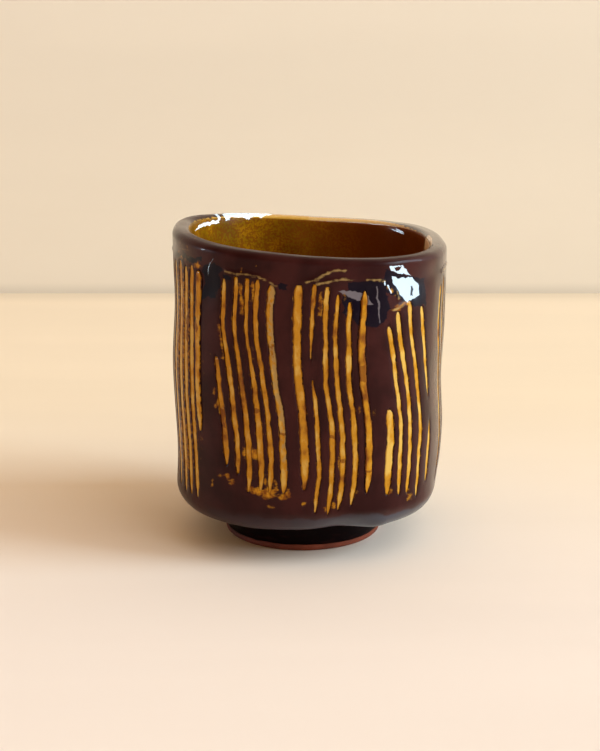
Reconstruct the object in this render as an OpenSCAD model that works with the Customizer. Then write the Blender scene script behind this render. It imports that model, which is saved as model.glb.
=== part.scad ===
// A squared sake cup of red clay on a low foot ring. Dark slip coats the outside and the lip, groups
// of wavy lines are cut through the slip, and amber glaze fills the lines and lines the inside.
// Millimetres, Z up. The origin lies on the table under the middle of the cup, and the front faces -Y.
// A bearing is an angle seen from above: 0 is the front, 90 is the right side (+X).

/* [Body] */
// Mean height of the rim above the table
cup_height = 67.4; // [60:0.2:78]
// Width across the flat sides at the rim
rim_width = 59.6; // [54:0.2:66]
// Width across the flat sides just above the rounded base
base_width = 58.8; // [54:0.2:66]
// Squareness of the plan, where 2 is round
squareness = 2.5; // [2:0.1:3.2]
// Radius of the rounded edge between the side and the underside
shoulder_radius = 4.8; // [3:0.1:8]
// Rise of the underside from the foot out to the rounded edge
underside_rise = 2; // [0.6:0.1:4]
// Depth of a full finger mark pressed into the wall
press_depth = 1; // [0:0.1:1.4]

/* [Wall] */
// Thickness of the wall at the lip, all layers together
lip_thickness = 4.2; // [3.6:0.1:6]
// Radius of the two rounded edges of the flat lip
lip_edge_radius = 1.6; // [1.3:0.1:1.8]
// Thickness of the wall at floor level, all layers together
wall_thickness = 5; // [4:0.1:7]
// Thickness of the floor over the foot ring, with its glaze
floor_thickness = 6; // [4:0.1:9]
// Radius of the rounded corner inside, between wall and floor
inside_radius = 9; // [5:0.5:14]

/* [Rim] */
// Height of the rim's high side above its mean
rim_tilt = 1.7; // [0:0.1:3]
// Bearing of the rim's high side
rim_tilt_bearing = -84; // [-180:1:180]
// Height of the slow wave round the rim
rim_wave = 0.5; // [0:0.1:1]
// Bearing of a crest of that wave
rim_wave_bearing = -80; // [-180:1:180]

/* [Foot] */
// Outer diameter of the foot ring
foot_diameter = 35; // [28:0.5:38]
// Width of the foot ring from outside to inside
foot_ring_width = 4.6; // [3:0.1:7]
// Height of the foot ring
foot_height = 6.6; // [4:0.1:10]
// Distance of the foot's axis to the left of the cup's axis
foot_shift = 1.4; // [0:0.1:2]
// Radius of the rounded edges that the foot stands on
foot_edge_radius = 0.7; // [0.3:0.1:1]
// Height of bare clay left at the bottom of the foot's side
foot_bare_height = 1.2; // [1:0.1:2.5]

/* [Coats] */
// Thickness of the dark slip, with the bond to the clay
slip_thickness = 0.9; // [0.7:0.05:1.2]
// Thickness of the slip on the side of the foot
foot_slip_thickness = 0.5; // [0.3:0.05:0.9]
// Thickness of the glaze inside the cup
glaze_thickness = 0.5; // [0.3:0.05:0.8]
// Depth of the glaze in a line below the face of the slip
line_depth = 0.3; // [0.1:0.05:0.4]
// Space between two coats, and between a coat and the clay
bond_gap = 0.22; // [0.18:0.01:0.3]

/* [Lines] */
// Width of a line
line_width = 1.5; // [1:0.05:1.8]
// Height of the plain band between the lip and the highest lines
rim_band = 3; // [1.5:0.1:8]
// Bearing between the lines of a plain group
line_pitch = 5.1; // [4.4:0.1:5.6]

/* [Hidden] */

// Facets of the turned foot, and columns of the surfaces without lines
$fn = 96;
plain_columns = 54;

// Angles, on the rounded edges, of the rows that the surfaces are lofted through
shoulder_rows = [-90, -62, -34];
cut_low_angle = -8;
lip_outer_rows = [0, 45, 90];
lip_inner_rows = [90, 135, 180];
corner_rows = [0, -30, -60, -90];
wall_row_shares = [0, 0.16, 0.32, 0.48, 0.64, 0.82];
edge_steps = 4;

foot_radius = foot_diameter / 2;
foot_core_radius = foot_radius - foot_slip_thickness;
foot_bore_radius = foot_radius - foot_ring_width;
under_z = foot_height - slip_thickness;
shoulder_half = base_width / 2 - shoulder_radius;
shoulder_z = under_z + underside_rise + shoulder_radius;
lip_outer_half = rim_width / 2 - lip_edge_radius;
lip_inner_half = rim_width / 2 - lip_thickness + lip_edge_radius;
lip_z = cup_height - lip_edge_radius;
slip_back = slip_thickness - bond_gap;
floor_z = foot_height + floor_thickness;
corner_z = floor_z + inside_radius;
corner_half = inside_half(corner_z, 0) - inside_radius;
glaze_top_z = lip_z - slip_thickness;
cut_low_z = shoulder_z + shoulder_radius * sin(cut_low_angle);
cut_high_z = lip_z - rim_band;

// Finger marks: bearing, height as a share of the cup's, push as a share of the press depth (out is
// positive), spread in degrees, spread as a share of the cup's height
marks = [
    [-90, 0.56, 0.7, 35, 0.15],
    [-90, 0.79, -0.3, 35, 0.09],
    [-95, 0.13, 0.5, 40, 0.12],
    [88, 0.54, -0.4, 35, 0.14],
    [88, 0.38, 0.4, 35, 0.15],
    [85, 0.07, -1.4, 45, 0.2],
    [170, 0.6, -0.4, 40, 0.14],
    [190, 0.3, 0.4, 45, 0.12]
];

// Sways: sideways shift of a group of lines, in degrees, at even heights from the bottom of the cut zone up
sway_drift = [1.5, 2.5, 1.6, -0.8, -2.9, -1.9];
sway_bow = [0.4, 2.1, 1.4, -0.6, -1.1, 0.1];
sway_lean = [1.8, 1.9, 2.1, -0.9, -4.3, -5.6];
sway_soft = [1.8, 1, 0, -0.1, 0.2, 1.2];
sway_back = [-0.6, -1.4, -0.4, 1.2, 1.5, 0.2];

// Lines of a group: bearing from the group's middle, gap above and gap below as shares of the cut zone,
// width as a share of the line width
lines_drift = [
    [-11.7, 0.34, 0.2, 1],
    [-6.7, 0.03, 0.16, 0.85],
    [-2, 0.01, 0.09, 0.9],
    [2.7, 0.01, 0.1, 0.95],
    [6.7, 0.01, 0.095, 0.8],
    [11.9, 0.03, 0.1, 1.05]
];
lines_bow = [
    [-13.2, 0.02, 0.11, 1.25],
    [-7.5, 0.01, 0.01, 0.7],
    [-2.1, 0.02, 0.01, 0.85],
    [2.1, 0.05, 0.03, 0.85],
    [7, 0.08, 0.045, 0.8],
    [12.5, 0.04, 0.1, 1]
];
lines_lean = [
    [-12.6, 0.54, 0.075, 1.2],
    [-7.6, 0.19, 0.065, 0.75],
    [-3, 0.13, 0.06, 0.8],
    [2.7, 0.09, 0.035, 0.8],
    [9, 0.12, 0.085, 0.75]
];
lines_soft = [
    [-17, 0.02, 0.05, 1],
    [-11, 0.02, 0.04, 1.05],
    [-3.9, 0.01, 0.03, 1.05],
    [1.2, 0.02, 0.03, 1.05],
    [5.6, 0.01, 0.03, 1],
    [9.8, 0.02, 0.32, 1]
];
lines_plain = [for (k = [-2:2]) [k * line_pitch, 0.04 + 0.03 * cos(k * 100), 0.08 + 0.04 * sin(k * 80), 1]];

// Groups of lines in order round the cup: bearing of the middle, sway, lines
groups = [
    [-25, sway_drift, lines_drift],
    [9, sway_bow, lines_bow],
    [43, sway_lean, lines_lean],
    [75, sway_drift, lines_plain],
    [107, sway_back, lines_plain],
    [140, sway_bow, lines_plain],
    [172, sway_drift, lines_plain],
    [205, sway_back, lines_plain],
    [237, sway_bow, lines_plain],
    [269, sway_soft, lines_plain],
    [303, sway_soft, lines_soft]
];
front_groups = [0, 1];
right_groups = [2, 3, 4];
back_groups = [5, 6, 7];
left_groups = [8, 9, 10];

// Rows that the cut zone is lofted through, and the pointed end of a line as a share of the zone's height
cut_rows = 9;
line_tip = 0.035;
// Slack at the point of a line, for each unit of slack at its sides
tip_slack = 3;

// General helpers
function sum(list) = list * [for (v = list) 1];
function flatten(lists) = [for (list = lists) for (v = list) v];
function turn(a) = a - 360 * round(a / 360);
function triangle(a, b, c) = a == b || b == c || c == a ? [] : [[a, b, c]];
function quad(a, b, c, d) = concat(triangle(a, b, c), triangle(a, c, d));

// Smooth value between evenly spaced values, at a share of the whole row from 0 to 1
function smooth(v, share) =
    let (
        s = share * (len(v) - 1),
        i = min(floor(s), len(v) - 2),
        f = s - i,
        before = v[max(i - 1, 0)],
        low = v[i],
        high = v[i + 1],
        after = v[min(i + 2, len(v) - 1)]
    )
    low + f / 2 * (high - before + f * (2 * before - 5 * low + 4 * high - after
        + f * (3 * (low - high) + after - before)));

// Radius of the squared plan at a bearing, for a half width of 1
function plan(b) = pow(pow(abs(cos(b)), squareness) + pow(abs(sin(b)), squareness), -1 / squareness);

// How far the finger marks push the wall out
function mark(m, b, z) =
    m[2] * exp(-pow(turn(b - m[0]) / m[3], 2) - pow((z / cup_height - m[1]) / m[4], 2));
function press(b, z) = press_depth * sum([for (m = marks) mark(m, b, z)]);

// How far the wall is lifted towards the uneven rim
function rim_lift(b) =
    rim_tilt * cos(b - rim_tilt_bearing) + rim_wave * cos(2 * (b - rim_wave_bearing));
function lift(b, z) = rim_lift(b) * max(0, z - floor_z) / (cup_height - floor_z);

// A point of the squared body, and a point of the round foot
function body_point(b, half, z) =
    let (r = plan(b) * half + press(b, z))
    [r * sin(b), -r * cos(b), z + lift(b, z)];
function foot_point(b, r, z) = [r * sin(b) - foot_shift, -r * cos(b), z];

// The outer surface, at a depth below the face of the slip: side, rounded base edge and lip
function wall_half(z) =
    (base_width + (rim_width - base_width) * (z - shoulder_z) / (lip_z - shoulder_z)) / 2;
function side_half(z, depth) = z > shoulder_z
    ? wall_half(z) - depth
    : shoulder_half + sqrt(pow(shoulder_radius - depth, 2) - pow(shoulder_z - z, 2));
function side_point(b, z, depth) = body_point(b, side_half(z, depth), z);
function shoulder_point(b, angle, depth) =
    let (r = shoulder_radius - depth)
    body_point(b, shoulder_half + r * cos(angle), shoulder_z + r * sin(angle));
function lip_point(b, half, angle, depth) =
    let (r = lip_edge_radius - depth)
    body_point(b, half + r * cos(angle), lip_z + r * sin(angle));
function lip_points(b, depth) = concat(
    [for (a = lip_outer_rows) lip_point(b, lip_outer_half, a, depth)],
    [for (a = lip_inner_rows) lip_point(b, lip_inner_half, a, depth)]
);
lip_rows = len(lip_points(0, 0));

// The inner surface, at a depth behind the face of the glaze: wall and rounded corner
function wall_thickness_at(z) =
    lip_thickness + (wall_thickness - lip_thickness) * (lip_z - z) / (lip_z - floor_z);
function inside_half(z, depth) = wall_half(z) - wall_thickness_at(z) + depth;
function inside_point(b, z, depth) = body_point(b, inside_half(z, depth), z);
function corner_point(b, angle, depth) =
    let (r = inside_radius + depth)
    body_point(b, corner_half + r * cos(angle), corner_z + r * sin(angle));

// Rings of points for the lofted surfaces without lines
bearings = [for (i = [0:plain_columns - 1]) i * 360 / plain_columns];
function outer_rings(depth) = concat(
    [for (a = shoulder_rows) [for (b = bearings) shoulder_point(b, a, depth)]],
    [for (s = wall_row_shares) [for (b = bearings)
        side_point(b, cut_low_z + s * (lip_z - cut_low_z), depth)]],
    [for (r = [0:lip_rows - 1]) [for (b = bearings) lip_points(b, depth)[r]]]
);
function inner_rings(depth) = concat(
    [for (s = wall_row_shares) [for (b = bearings)
        inside_point(b, glaze_top_z + s * (corner_z - glaze_top_z), depth)]],
    [for (a = corner_rows) [for (b = bearings) corner_point(b, a, depth)]]
);

// Faces between neighbouring rings, from the first to the last, with the ends closed by flat faces. A
// surface that lies on another runs through its rings the other way, and is split across to match it.
function loft_faces(n, m, split_across) = concat(
    [[for (i = [0:n - 1]) i]],
    [for (r = [0:m - 2]) for (i = [0:n - 1])
        let (j = (i + 1) % n, low = r * n, high = low + n)
        each split_across
            ? quad(low + j, low + i, high + i, high + j)
            : quad(low + i, high + i, high + j, low + j)],
    [[for (i = [n - 1:-1:0]) (m - 1) * n + i]]
);

module loft(rings, split_across = false) {
    polyhedron(flatten(rings), loft_faces(len(rings[0]), len(rings), split_across));
}

// Columns of the carved coat, each a group number and a line number. A group starts with a plain column,
// line number -1, in the space before its first line.
function last_line(g) = len(groups[g][2]) - 1;
columns = [for (g = [0:len(groups) - 1]) for (k = [-1:last_line(g)]) [g, k]];
function is_line(c) = c[1] >= 0;
function line_of(c) = groups[c[0]][2][c[1]];
function line_low(c) = line_of(c)[2];
function line_high(c) = 1 - line_of(c)[1];

// Half of the angle that a line covers, with some slack taken off each side
function half_angle(c, slack) =
    let (width = line_width * line_of(c)[3] - 2 * slack)
    width / (plan(line_home(c)) * rim_width) * 180 / PI;

// Bearing of a column without its group's sway. A plain column lies half way between the lines beside it.
function line_home(c) = groups[c[0]][0] + line_of(c)[0];
function column_before(c) = c[0] == 0 ? [len(groups) - 1, last_line(len(groups) - 1)]
    : [c[0] - 1, last_line(c[0] - 1)];
function half_way(c, left, right) =
    let (
        whole_turn = c[0] == 0 ? 360 : 0,
        left_edge = left - whole_turn + half_angle(column_before(c), 0),
        right_edge = right - half_angle([c[0], 0], 0)
    )
    (left_edge + right_edge) / 2;
function home(c) = is_line(c)
    ? line_home(c)
    : half_way(c, line_home(column_before(c)), line_home([c[0], 0]));

// Bearing of a column's middle at a share of the cut zone's height, with the sway
function line_middle(c, t) = line_home(c) + smooth(groups[c[0]][1], t);
function middle(c, t) = is_line(c)
    ? line_middle(c, t)
    : half_way(c, line_middle(column_before(c), t), line_middle([c[0], 0], t));

// Rows of a column. A line starts and ends in a point, on its first and last row, and is open between them.
function first_row(c) = max(1, round(line_low(c) * cut_rows));
function last_row(c) = min(cut_rows - 1, round(line_high(c) * cut_rows));
function is_open(c, r) = is_line(c) && r > first_row(c) && r < last_row(c);
function line_share(c, r) =
    let (low = line_low(c), high = line_high(c), first = first_row(c), last = last_row(c))
    r <= first ? low * r / first
        : r >= last ? high + (1 - high) * (r - last) / (cut_rows - last)
        : low + line_tip + (high - low - 2 * line_tip) * (r - first - 1) / max(1, last - first - 2);
function row_share(c, r) = is_line(c) ? line_share(c, r) : r / cut_rows;

// A point of a row: side -1 is the left edge of a line and 1 the right edge
function cut_point(c, r, side, depth, slack = 0) =
    let (
        t = row_share(c, r),
        b = middle(c, t) + (is_open(c, r) ? side * half_angle(c, slack) : 0),
        end = slack == 0 ? 0 : r == first_row(c) ? 1 : r == last_row(c) ? -1 : 0,
        z = cut_low_z + t * (cut_high_z - cut_low_z) + tip_slack * slack * end
    )
    side_point(b, z, depth);
function open_rows(c) = [for (r = [0:cut_rows]) if (is_open(c, r)) r];

// Points of one column at a depth: the left edges from the foot to inside the lip, then the right edges
first_cut_row = len(shoulder_rows) + 1;
coat_rows = first_cut_row + cut_rows + 1 + lip_rows;
function column_points(c, depth) = concat(
    [foot_point(home(c), foot_radius + bond_gap, under_z + depth)],
    [for (a = shoulder_rows) shoulder_point(home(c), a, depth)],
    [for (r = [0:cut_rows]) cut_point(c, r, -1, depth)],
    lip_points(home(c), depth),
    [for (r = open_rows(c)) cut_point(c, r, 1, depth)]
);
function column_size(c) = coat_rows + len(open_rows(c));
starts = [for (i = 0, s = 0; i < len(columns); s = s + column_size(columns[i]), i = i + 1) s];
coat_size = sum([for (c = columns) column_size(c)]);
function left_of(i, r) = starts[i] + r;
function right_of(i, r) = is_open(columns[i], r - first_cut_row)
    ? starts[i] + coat_rows + r - first_cut_row - first_row(columns[i]) - 1
    : starts[i] + r;

// Faces of the carved coat: the front face, its back, the walls of each line, and the two end rings
function coat_faces(i) =
    let (j = (i + 1) % len(columns), back = coat_size, top = coat_rows - 1)
    concat(
        [for (r = [0:top - 1])
            each quad(right_of(i, r), right_of(i, r + 1), left_of(j, r + 1), left_of(j, r))],
        [for (r = [0:top - 1])
            each quad(back + left_of(j, r), back + left_of(j, r + 1),
                back + right_of(i, r + 1), back + right_of(i, r))],
        is_line(columns[i]) ? line_walls(i) : [],
        quad(left_of(i, 0), left_of(j, 0), back + left_of(j, 0), back + left_of(i, 0)),
        quad(left_of(j, top), left_of(i, top), back + left_of(i, top), back + left_of(j, top))
    );
function line_walls(i) =
    let (
        c = columns[i],
        back = coat_size,
        low = first_cut_row + first_row(c),
        high = first_cut_row + last_row(c)
    )
    [for (r = [low:high - 1])
        each concat(
            quad(left_of(i, r), left_of(i, r + 1), back + left_of(i, r + 1), back + left_of(i, r)),
            quad(right_of(i, r + 1), right_of(i, r), back + right_of(i, r), back + right_of(i, r + 1))
        )];

// The glaze of one line: its left edges and then its right edges, at the face and again at the back
line_slack = bond_gap / 2;
function strip_rows(c) = last_row(c) - first_row(c) + 1;
function strip_size(c) = 2 * (strip_rows(c) + len(open_rows(c)));
function strip_surface(c, depth) = concat(
    [for (r = [first_row(c):last_row(c)]) cut_point(c, r, -1, depth, line_slack)],
    [for (r = open_rows(c)) cut_point(c, r, 1, depth, line_slack)]
);
function strip_points(c) = concat(strip_surface(c, line_depth), strip_surface(c, slip_back));
function strip_right(rows, r) = r == 0 || r == rows - 1 ? r : rows + r - 1;
function strip_faces(c, start) =
    let (rows = strip_rows(c), back = start + strip_size(c) / 2)
    [for (r = [0:rows - 2])
        let (low = strip_right(rows, r), high = strip_right(rows, r + 1))
        each concat(
            quad(start + r, start + r + 1, start + high, start + low),
            quad(back + low, back + high, back + r + 1, back + r),
            quad(back + r, back + r + 1, start + r + 1, start + r),
            quad(start + low, start + high, back + high, back + low)
        )];

module line_glaze(group_numbers) {
    lines = [for (g = group_numbers) for (k = [0:last_line(g)]) [g, k]];
    starts = [for (i = 0, s = 0; i < len(lines); s = s + strip_size(lines[i]), i = i + 1) s];
    polyhedron(
        flatten([for (c = lines) strip_points(c)]),
        flatten([for (i = [0:len(lines) - 1]) strip_faces(lines[i], starts[i])])
    );
}

// Points of a rounded corner in a turned profile
function edge_arc(r, z, from) =
    [for (s = [0:edge_steps])
        let (a = from + 90 * s / edge_steps)
        [r + foot_edge_radius * cos(a), z + foot_edge_radius * sin(a)]];

// The pieces

module clay_body() {
    seat = [for (b = bearings) foot_point(b, foot_radius, foot_height)];
    color("#8c4a36")
        loft(concat([seat], outer_rings(slip_thickness), inner_rings(glaze_thickness)));
}

module foot_ring() {
    profile = concat(
        edge_arc(foot_bore_radius + foot_edge_radius, foot_edge_radius, 180),
        edge_arc(foot_radius - foot_edge_radius, foot_edge_radius, 270),
        [[foot_radius, foot_bare_height], [foot_core_radius, foot_bare_height]],
        [[foot_core_radius, foot_height], [foot_bore_radius, foot_height]]
    );
    color("#96503a")
        translate([-foot_shift, 0, 0])
            rotate_extrude()
                polygon(profile);
}

module dark_slip_coat() {
    color("#3a2226")
        polyhedron(
            concat(
                flatten([for (c = columns) column_points(c, 0)]),
                flatten([for (c = columns) column_points(c, slip_back)])
            ),
            flatten([for (i = [0:len(columns) - 1]) coat_faces(i)])
        );
}

module foot_slip_band() {
    color("#2a191c")
        translate([-foot_shift, 0, 0])
            rotate_extrude()
                translate([foot_core_radius, foot_bare_height])
                    square([foot_slip_thickness, foot_height - foot_bare_height]);
}

module inner_glaze() {
    front = inner_rings(0);
    back = inner_rings(glaze_thickness);
    back_up = [for (i = [len(back) - 1:-1:0]) back[i]];
    color("#8f6a1f")
        loft(concat(back_up, front), split_across = true);
}

module line_glaze_front() { color("#c08f33") line_glaze(front_groups); }
module line_glaze_right() { color("#c08f33") line_glaze(right_groups); }
module line_glaze_back() { color("#c08f33") line_glaze(back_groups); }
module line_glaze_left() { color("#c08f33") line_glaze(left_groups); }

clay_body();
foot_ring();
dark_slip_coat();
foot_slip_band();
inner_glaze();
line_glaze_front();
line_glaze_right();
line_glaze_back();
line_glaze_left();
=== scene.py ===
"""Dresses the solids of a squared sake cup: pressed clay, carved dark slip, amber glaze and a plain table."""

import math

import bmesh
import bpy
from bpy.props import FloatProperty, FloatVectorProperty, IntProperty, PointerProperty
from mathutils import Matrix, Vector, noise


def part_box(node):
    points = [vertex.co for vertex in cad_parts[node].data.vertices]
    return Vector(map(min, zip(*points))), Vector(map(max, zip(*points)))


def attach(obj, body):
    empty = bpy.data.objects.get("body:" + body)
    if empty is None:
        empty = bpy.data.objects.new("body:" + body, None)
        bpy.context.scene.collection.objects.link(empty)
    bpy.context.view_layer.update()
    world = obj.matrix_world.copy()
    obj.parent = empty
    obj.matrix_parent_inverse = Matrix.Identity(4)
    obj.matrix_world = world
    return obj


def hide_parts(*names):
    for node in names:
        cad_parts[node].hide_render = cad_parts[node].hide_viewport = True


bl_info = {
    "name": "Sake Cup",
    "version": (1, 0, 0),
    "blender": (4, 5, 0),
    "location": "3D View > Sidebar > Sake Cup",
    "description": "Models the carved slip, the glaze and the clay of a squared sake cup around its solids",
    "category": "Mesh",
}

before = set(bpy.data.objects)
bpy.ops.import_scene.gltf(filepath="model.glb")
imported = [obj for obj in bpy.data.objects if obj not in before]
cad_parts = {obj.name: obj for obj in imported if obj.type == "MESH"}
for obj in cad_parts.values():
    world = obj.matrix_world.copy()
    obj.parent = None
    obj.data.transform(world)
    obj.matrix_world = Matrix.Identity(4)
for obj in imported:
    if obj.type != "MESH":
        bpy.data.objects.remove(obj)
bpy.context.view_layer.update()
MM = 0.001

FOOT_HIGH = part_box("foot_ring")[1]
FOOT_SLIP_LOW, FOOT_SLIP_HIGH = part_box("foot_slip_band")

# How far the slip's underside lies below the top of the foot ring, and how far its edge stays clear of it.
SEAT_STEP = 0.9 * MM
SEAT_GAP = 0.5 * MM

# Where the slip ends and the lining begins on the way over the lip, in degrees from its outer side.
LINING_START = 150

# How far the coats lie inside the faces of the solids, which leaves room for ridges and swells.
COAT_INSET = 0.18 * MM

# How far the clay lies under the slip and under the lining.
CLAY_DEPTH = 1.02 * MM
LINED_CLAY_DEPTH = 0.7 * MM

# How thick the lining is, and how thick the glaze in the lines and the slip on the foot are.
LINING_WALL = 0.4 * MM
THIN_WALL = 0.3 * MM

# The foot: radius of its recess, round of its edges, step under its slip and flare towards its top.
FOOT_BORE = 12.9 * MM
FOOT_EDGE = 0.7 * MM
FOOT_STEP = 0.4 * MM
FOOT_FLARE = 0.7 * MM

# The slip beside a line: how far off its crest is, how high that stands and how low the edge lies.
CREST_REACH = 0.22 * MM
CREST_RISE = 0.03 * MM
EDGE_SINK = 0.05 * MM

# How a line runs out at its top, its foot and a skip: 1 is a straight taper, and less is blunter.
TOP_TAPER = 0.45
FOOT_TAPER = 0.6
SKIP_TAPER = 0.8

# Share of the line width above which a line is open.
OPEN_SHARE = 0.12

# Height below which the slip has no ridges, and half the width of a ridge.
RIDGES_LOW = 52 * MM
RIDGE_REACH = 0.45 * MM

# Heights between which the rows of the slip lie farther apart.
COARSE_LOW = 20 * MM
COARSE_HIGH = 56 * MM

# Millimetres on the side for each degree round the cup.
MM_PER_DEGREE = 0.53

# Marks on the slip's mesh that its finish reads, and the mark across the lip where there is no lip.
SLIP_MARKS = ("edge", "smear", "gloss", "ridge", "lining", "across")
OFF_LIP = -3.0

# A point inside the cup, to tell the outer side of a coat from the inner one.
CUP_MIDDLE = Vector((0, 0, 40 * MM))

# Bearings run in degrees from the front of the cup, and grow towards its right. Heights in the tables are in
# millimetres, before the rim's tilt.

# Where fingers pressed the wall: bearing, share of the height, push, spread in degrees, spread up and down
# as a share.
FINGER_MARKS = [
    (-90, 0.56, 0.7, 35, 0.15),
    (-90, 0.79, -0.3, 35, 0.09),
    (-95, 0.13, 0.5, 40, 0.12),
    (88, 0.54, -0.4, 35, 0.14),
    (88, 0.38, 0.4, 35, 0.15),
    (85, 0.07, -1.4, 45, 0.2),
    (170, 0.6, -0.4, 40, 0.14),
    (190, 0.3, 0.4, 45, 0.12),
]

# Small dents and bulges that the thumb left under the rim and low on the side, in the same order.
THUMB_DENTS = [
    (41, 0.925, -1.2, 9, 0.06),
    (20, 0.89, -0.7, 7, 0.05),
    (-41, 0.88, -0.45, 5, 0.06),
    (96, 0.9, -0.9, 8, 0.06),
    (188, 0.9, -0.8, 8, 0.06),
    (253, 0.89, -0.9, 7, 0.06),
    (14, 0.12, -2.2, 10, 0.05),
    (30, 0.115, 0.9, 5, 0.045),
    (-20, 0.10, 0.4, 12, 0.04),
]

# How far the tool swayed on its way, in degrees at even steps from the bottom of the lines to their top.
SWAYS = {
    "drift": [1.5, 2.5, 1.6, -0.8, -2.9, -1.9],
    "bow": [0.4, 2.1, 1.4, -0.6, -1.1, 0.1],
    "lean": [1.8, 1.9, 2.1, -0.9, -4.3, -5.6],
    "soft": [1.8, 1.0, 0.0, -0.1, 0.2, 1.2],
    "back": [-0.6, -1.4, -0.4, 1.2, 1.5, 0.2],
}

# The lines of a group: offset in degrees, gap above and gap below as shares of the carved height,
# widths from the bottom to the top as shares of the line width, and tone from pale to burnt.
LINES = {
    "drift": [
        (-11.7, 0.34, 0.2, [0.9, 1.0, 0.85, 0.65, 0.5], 0.5),
        (-6.7, 0.03, 0.16, [0.6, 0.85, 0.85, 0.75, 0.75], 0.4),
        (-2.0, 0.01, 0.09, [0.4, 0.9, 0.85, 0.65, 0.75], 0.42),
        (2.7, 0.01, 0.1, [0.6, 0.95, 0.85, 0.55, 0.75], 0.4),
        (6.7, 0.01, 0.095, [0.7, 0.8, 0.75, 0.75, 0.7], 0.38),
        (11.9, 0.03, 0.1, [1.05, 1.05, 0.9, 0.9, 1.15], 0.35),
    ],
    "bow": [
        (-13.2, 0.02, 0.11, [0.75, 1.25, 1.2, 1.15, 1.35], 0.5),
        (-7.5, 0.01, 0.01, [0.5, 0.7, 0.65, 0.5, 0.75], 0.3),
        (-2.1, 0.02, 0.01, [0.65, 0.85, 0.75, 0.7, 0.7], 0.35),
        (2.1, 0.05, 0.03, [0.7, 0.85, 0.75, 0.7, 0.45], 0.38),
        (7.0, 0.08, 0.045, [0.6, 0.8, 0.8, 0.8, 0.5], 0.4),
        (12.5, 0.04, 0.1, [0.95, 0.95, 0.9, 1.05, 0.7], 0.6),
    ],
    "lean": [
        (-12.6, 0.54, 0.075, [1.05, 1.2, 1.2, 0.95, 0.9], 0.1),
        (-7.6, 0.19, 0.065, [0.75, 0.75, 0.7, 0.8, 0.7], 0.2),
        (-3.0, 0.13, 0.06, [0.7, 0.75, 0.75, 0.8, 0.75], 0.2),
        (2.7, 0.09, 0.035, [0.55, 0.8, 0.75, 0.75, 0.75], 0.2),
        (9.0, 0.12, 0.085, [0.55, 0.75, 0.6, 0.75, 0.7], 0.25),
    ],
    "soft": [
        (-17.0, 0.02, 0.05, [0.8, 1.0, 1.0, 1.0, 0.9], 0.2),
        (-11.0, 0.02, 0.04, [0.85, 1.05, 1.1, 1.1, 0.9], 0.15),
        (-3.9, 0.01, 0.03, [0.85, 1.1, 1.1, 1.1, 0.95], 0.15),
        (1.2, 0.02, 0.03, [0.8, 0.95, 1.0, 0.95, 0.9], 0.2),
        (5.6, 0.01, 0.03, [0.8, 0.9, 0.9, 0.9, 0.9], 0.2),
        (9.8, 0.02, 0.32, [0.5, 0.8, 0.95, 1.0, 1.1], 0.35),
    ],
    "plain": [
        (-10.2, 0.06, 0.05, [0.7, 0.9, 0.85, 0.8, 0.7], 0.35),
        (-5.1, 0.03, 0.10, [0.8, 0.85, 0.95, 0.85, 0.8], 0.4),
        (0.0, 0.05, 0.08, [0.75, 0.9, 0.8, 0.9, 0.85], 0.32),
        (5.1, 0.02, 0.06, [0.7, 0.8, 0.85, 0.8, 0.75], 0.45),
        (10.2, 0.07, 0.12, [0.9, 0.95, 0.9, 0.8, 0.7], 0.38),
    ],
}

# The groups of lines round the cup: bearing, sway, lines, and share of the full depth that the glaze lies at.
GROUPS = [
    (-25, "drift", "drift", 1.0),
    (9, "bow", "bow", 1.0),
    (43, "lean", "lean", 1.0),
    (75, "drift", "plain", 1.0),
    (107, "back", "plain", 1.0),
    (140, "bow", "plain", 1.0),
    (172, "drift", "plain", 1.0),
    (205, "back", "plain", 1.0),
    (237, "bow", "plain", 1.0),
    (269, "soft", "plain", 0.6),
    (303, "soft", "soft", 0.3),
]

# The groups on each side of the cup, which share one piece of line glaze.
SIDES = {"front": (0, 1), "right": (2, 3, 4), "back": (5, 6, 7), "left": (8, 9, 10)}

# Where the tool skipped: group, line, share of the carved height, half length as a share.
SKIPS = [
    (1, 1, 0.635, 0.02),
    (2, 4, 0.42, 0.03),
    (4, 2, 0.55, 0.03),
    (6, 3, 0.3, 0.04),
    (8, 1, 0.6, 0.03),
]

# The line painted pale on its right, partly a crust and partly a painted highlight on its burr: group, line.
CRUST_AND_HIGHLIGHT_LINE = (0, 5)

# Slip pushed up into ridges where the tool went in, each along points of bearing and height.
RIDGES = [
    [(-33.0, 62.7), (-29.8, 62.4), (-24.5, 62.7), (-19.2, 62.4), (-14.8, 61.5), (-13.2, 60.9)],
    [(-1.2, 62.2), (2.5, 62.9), (6.0, 64.2), (9.8, 65.0), (14.3, 65.0)],
    [(2.5, 61.9), (7.5, 62.6), (12.0, 63.2), (16.2, 63.0)],
    [(22.0, 63.0), (26.3, 63.0), (29.0, 62.7)],
    [(33.0, 56.4), (36.2, 57.0), (39.8, 57.4)],
    [(34.8, 60.2), (35.4, 58.8)],
    [(64.0, 62.4), (75.0, 63.0), (84.0, 62.2)],
    [(130.0, 62.2), (141.0, 63.2), (150.0, 62.4)],
    [(196.0, 62.0), (206.0, 63.0), (214.0, 62.2)],
    [(258.0, 62.4), (268.0, 63.0), (279.0, 62.4)],
]

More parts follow.
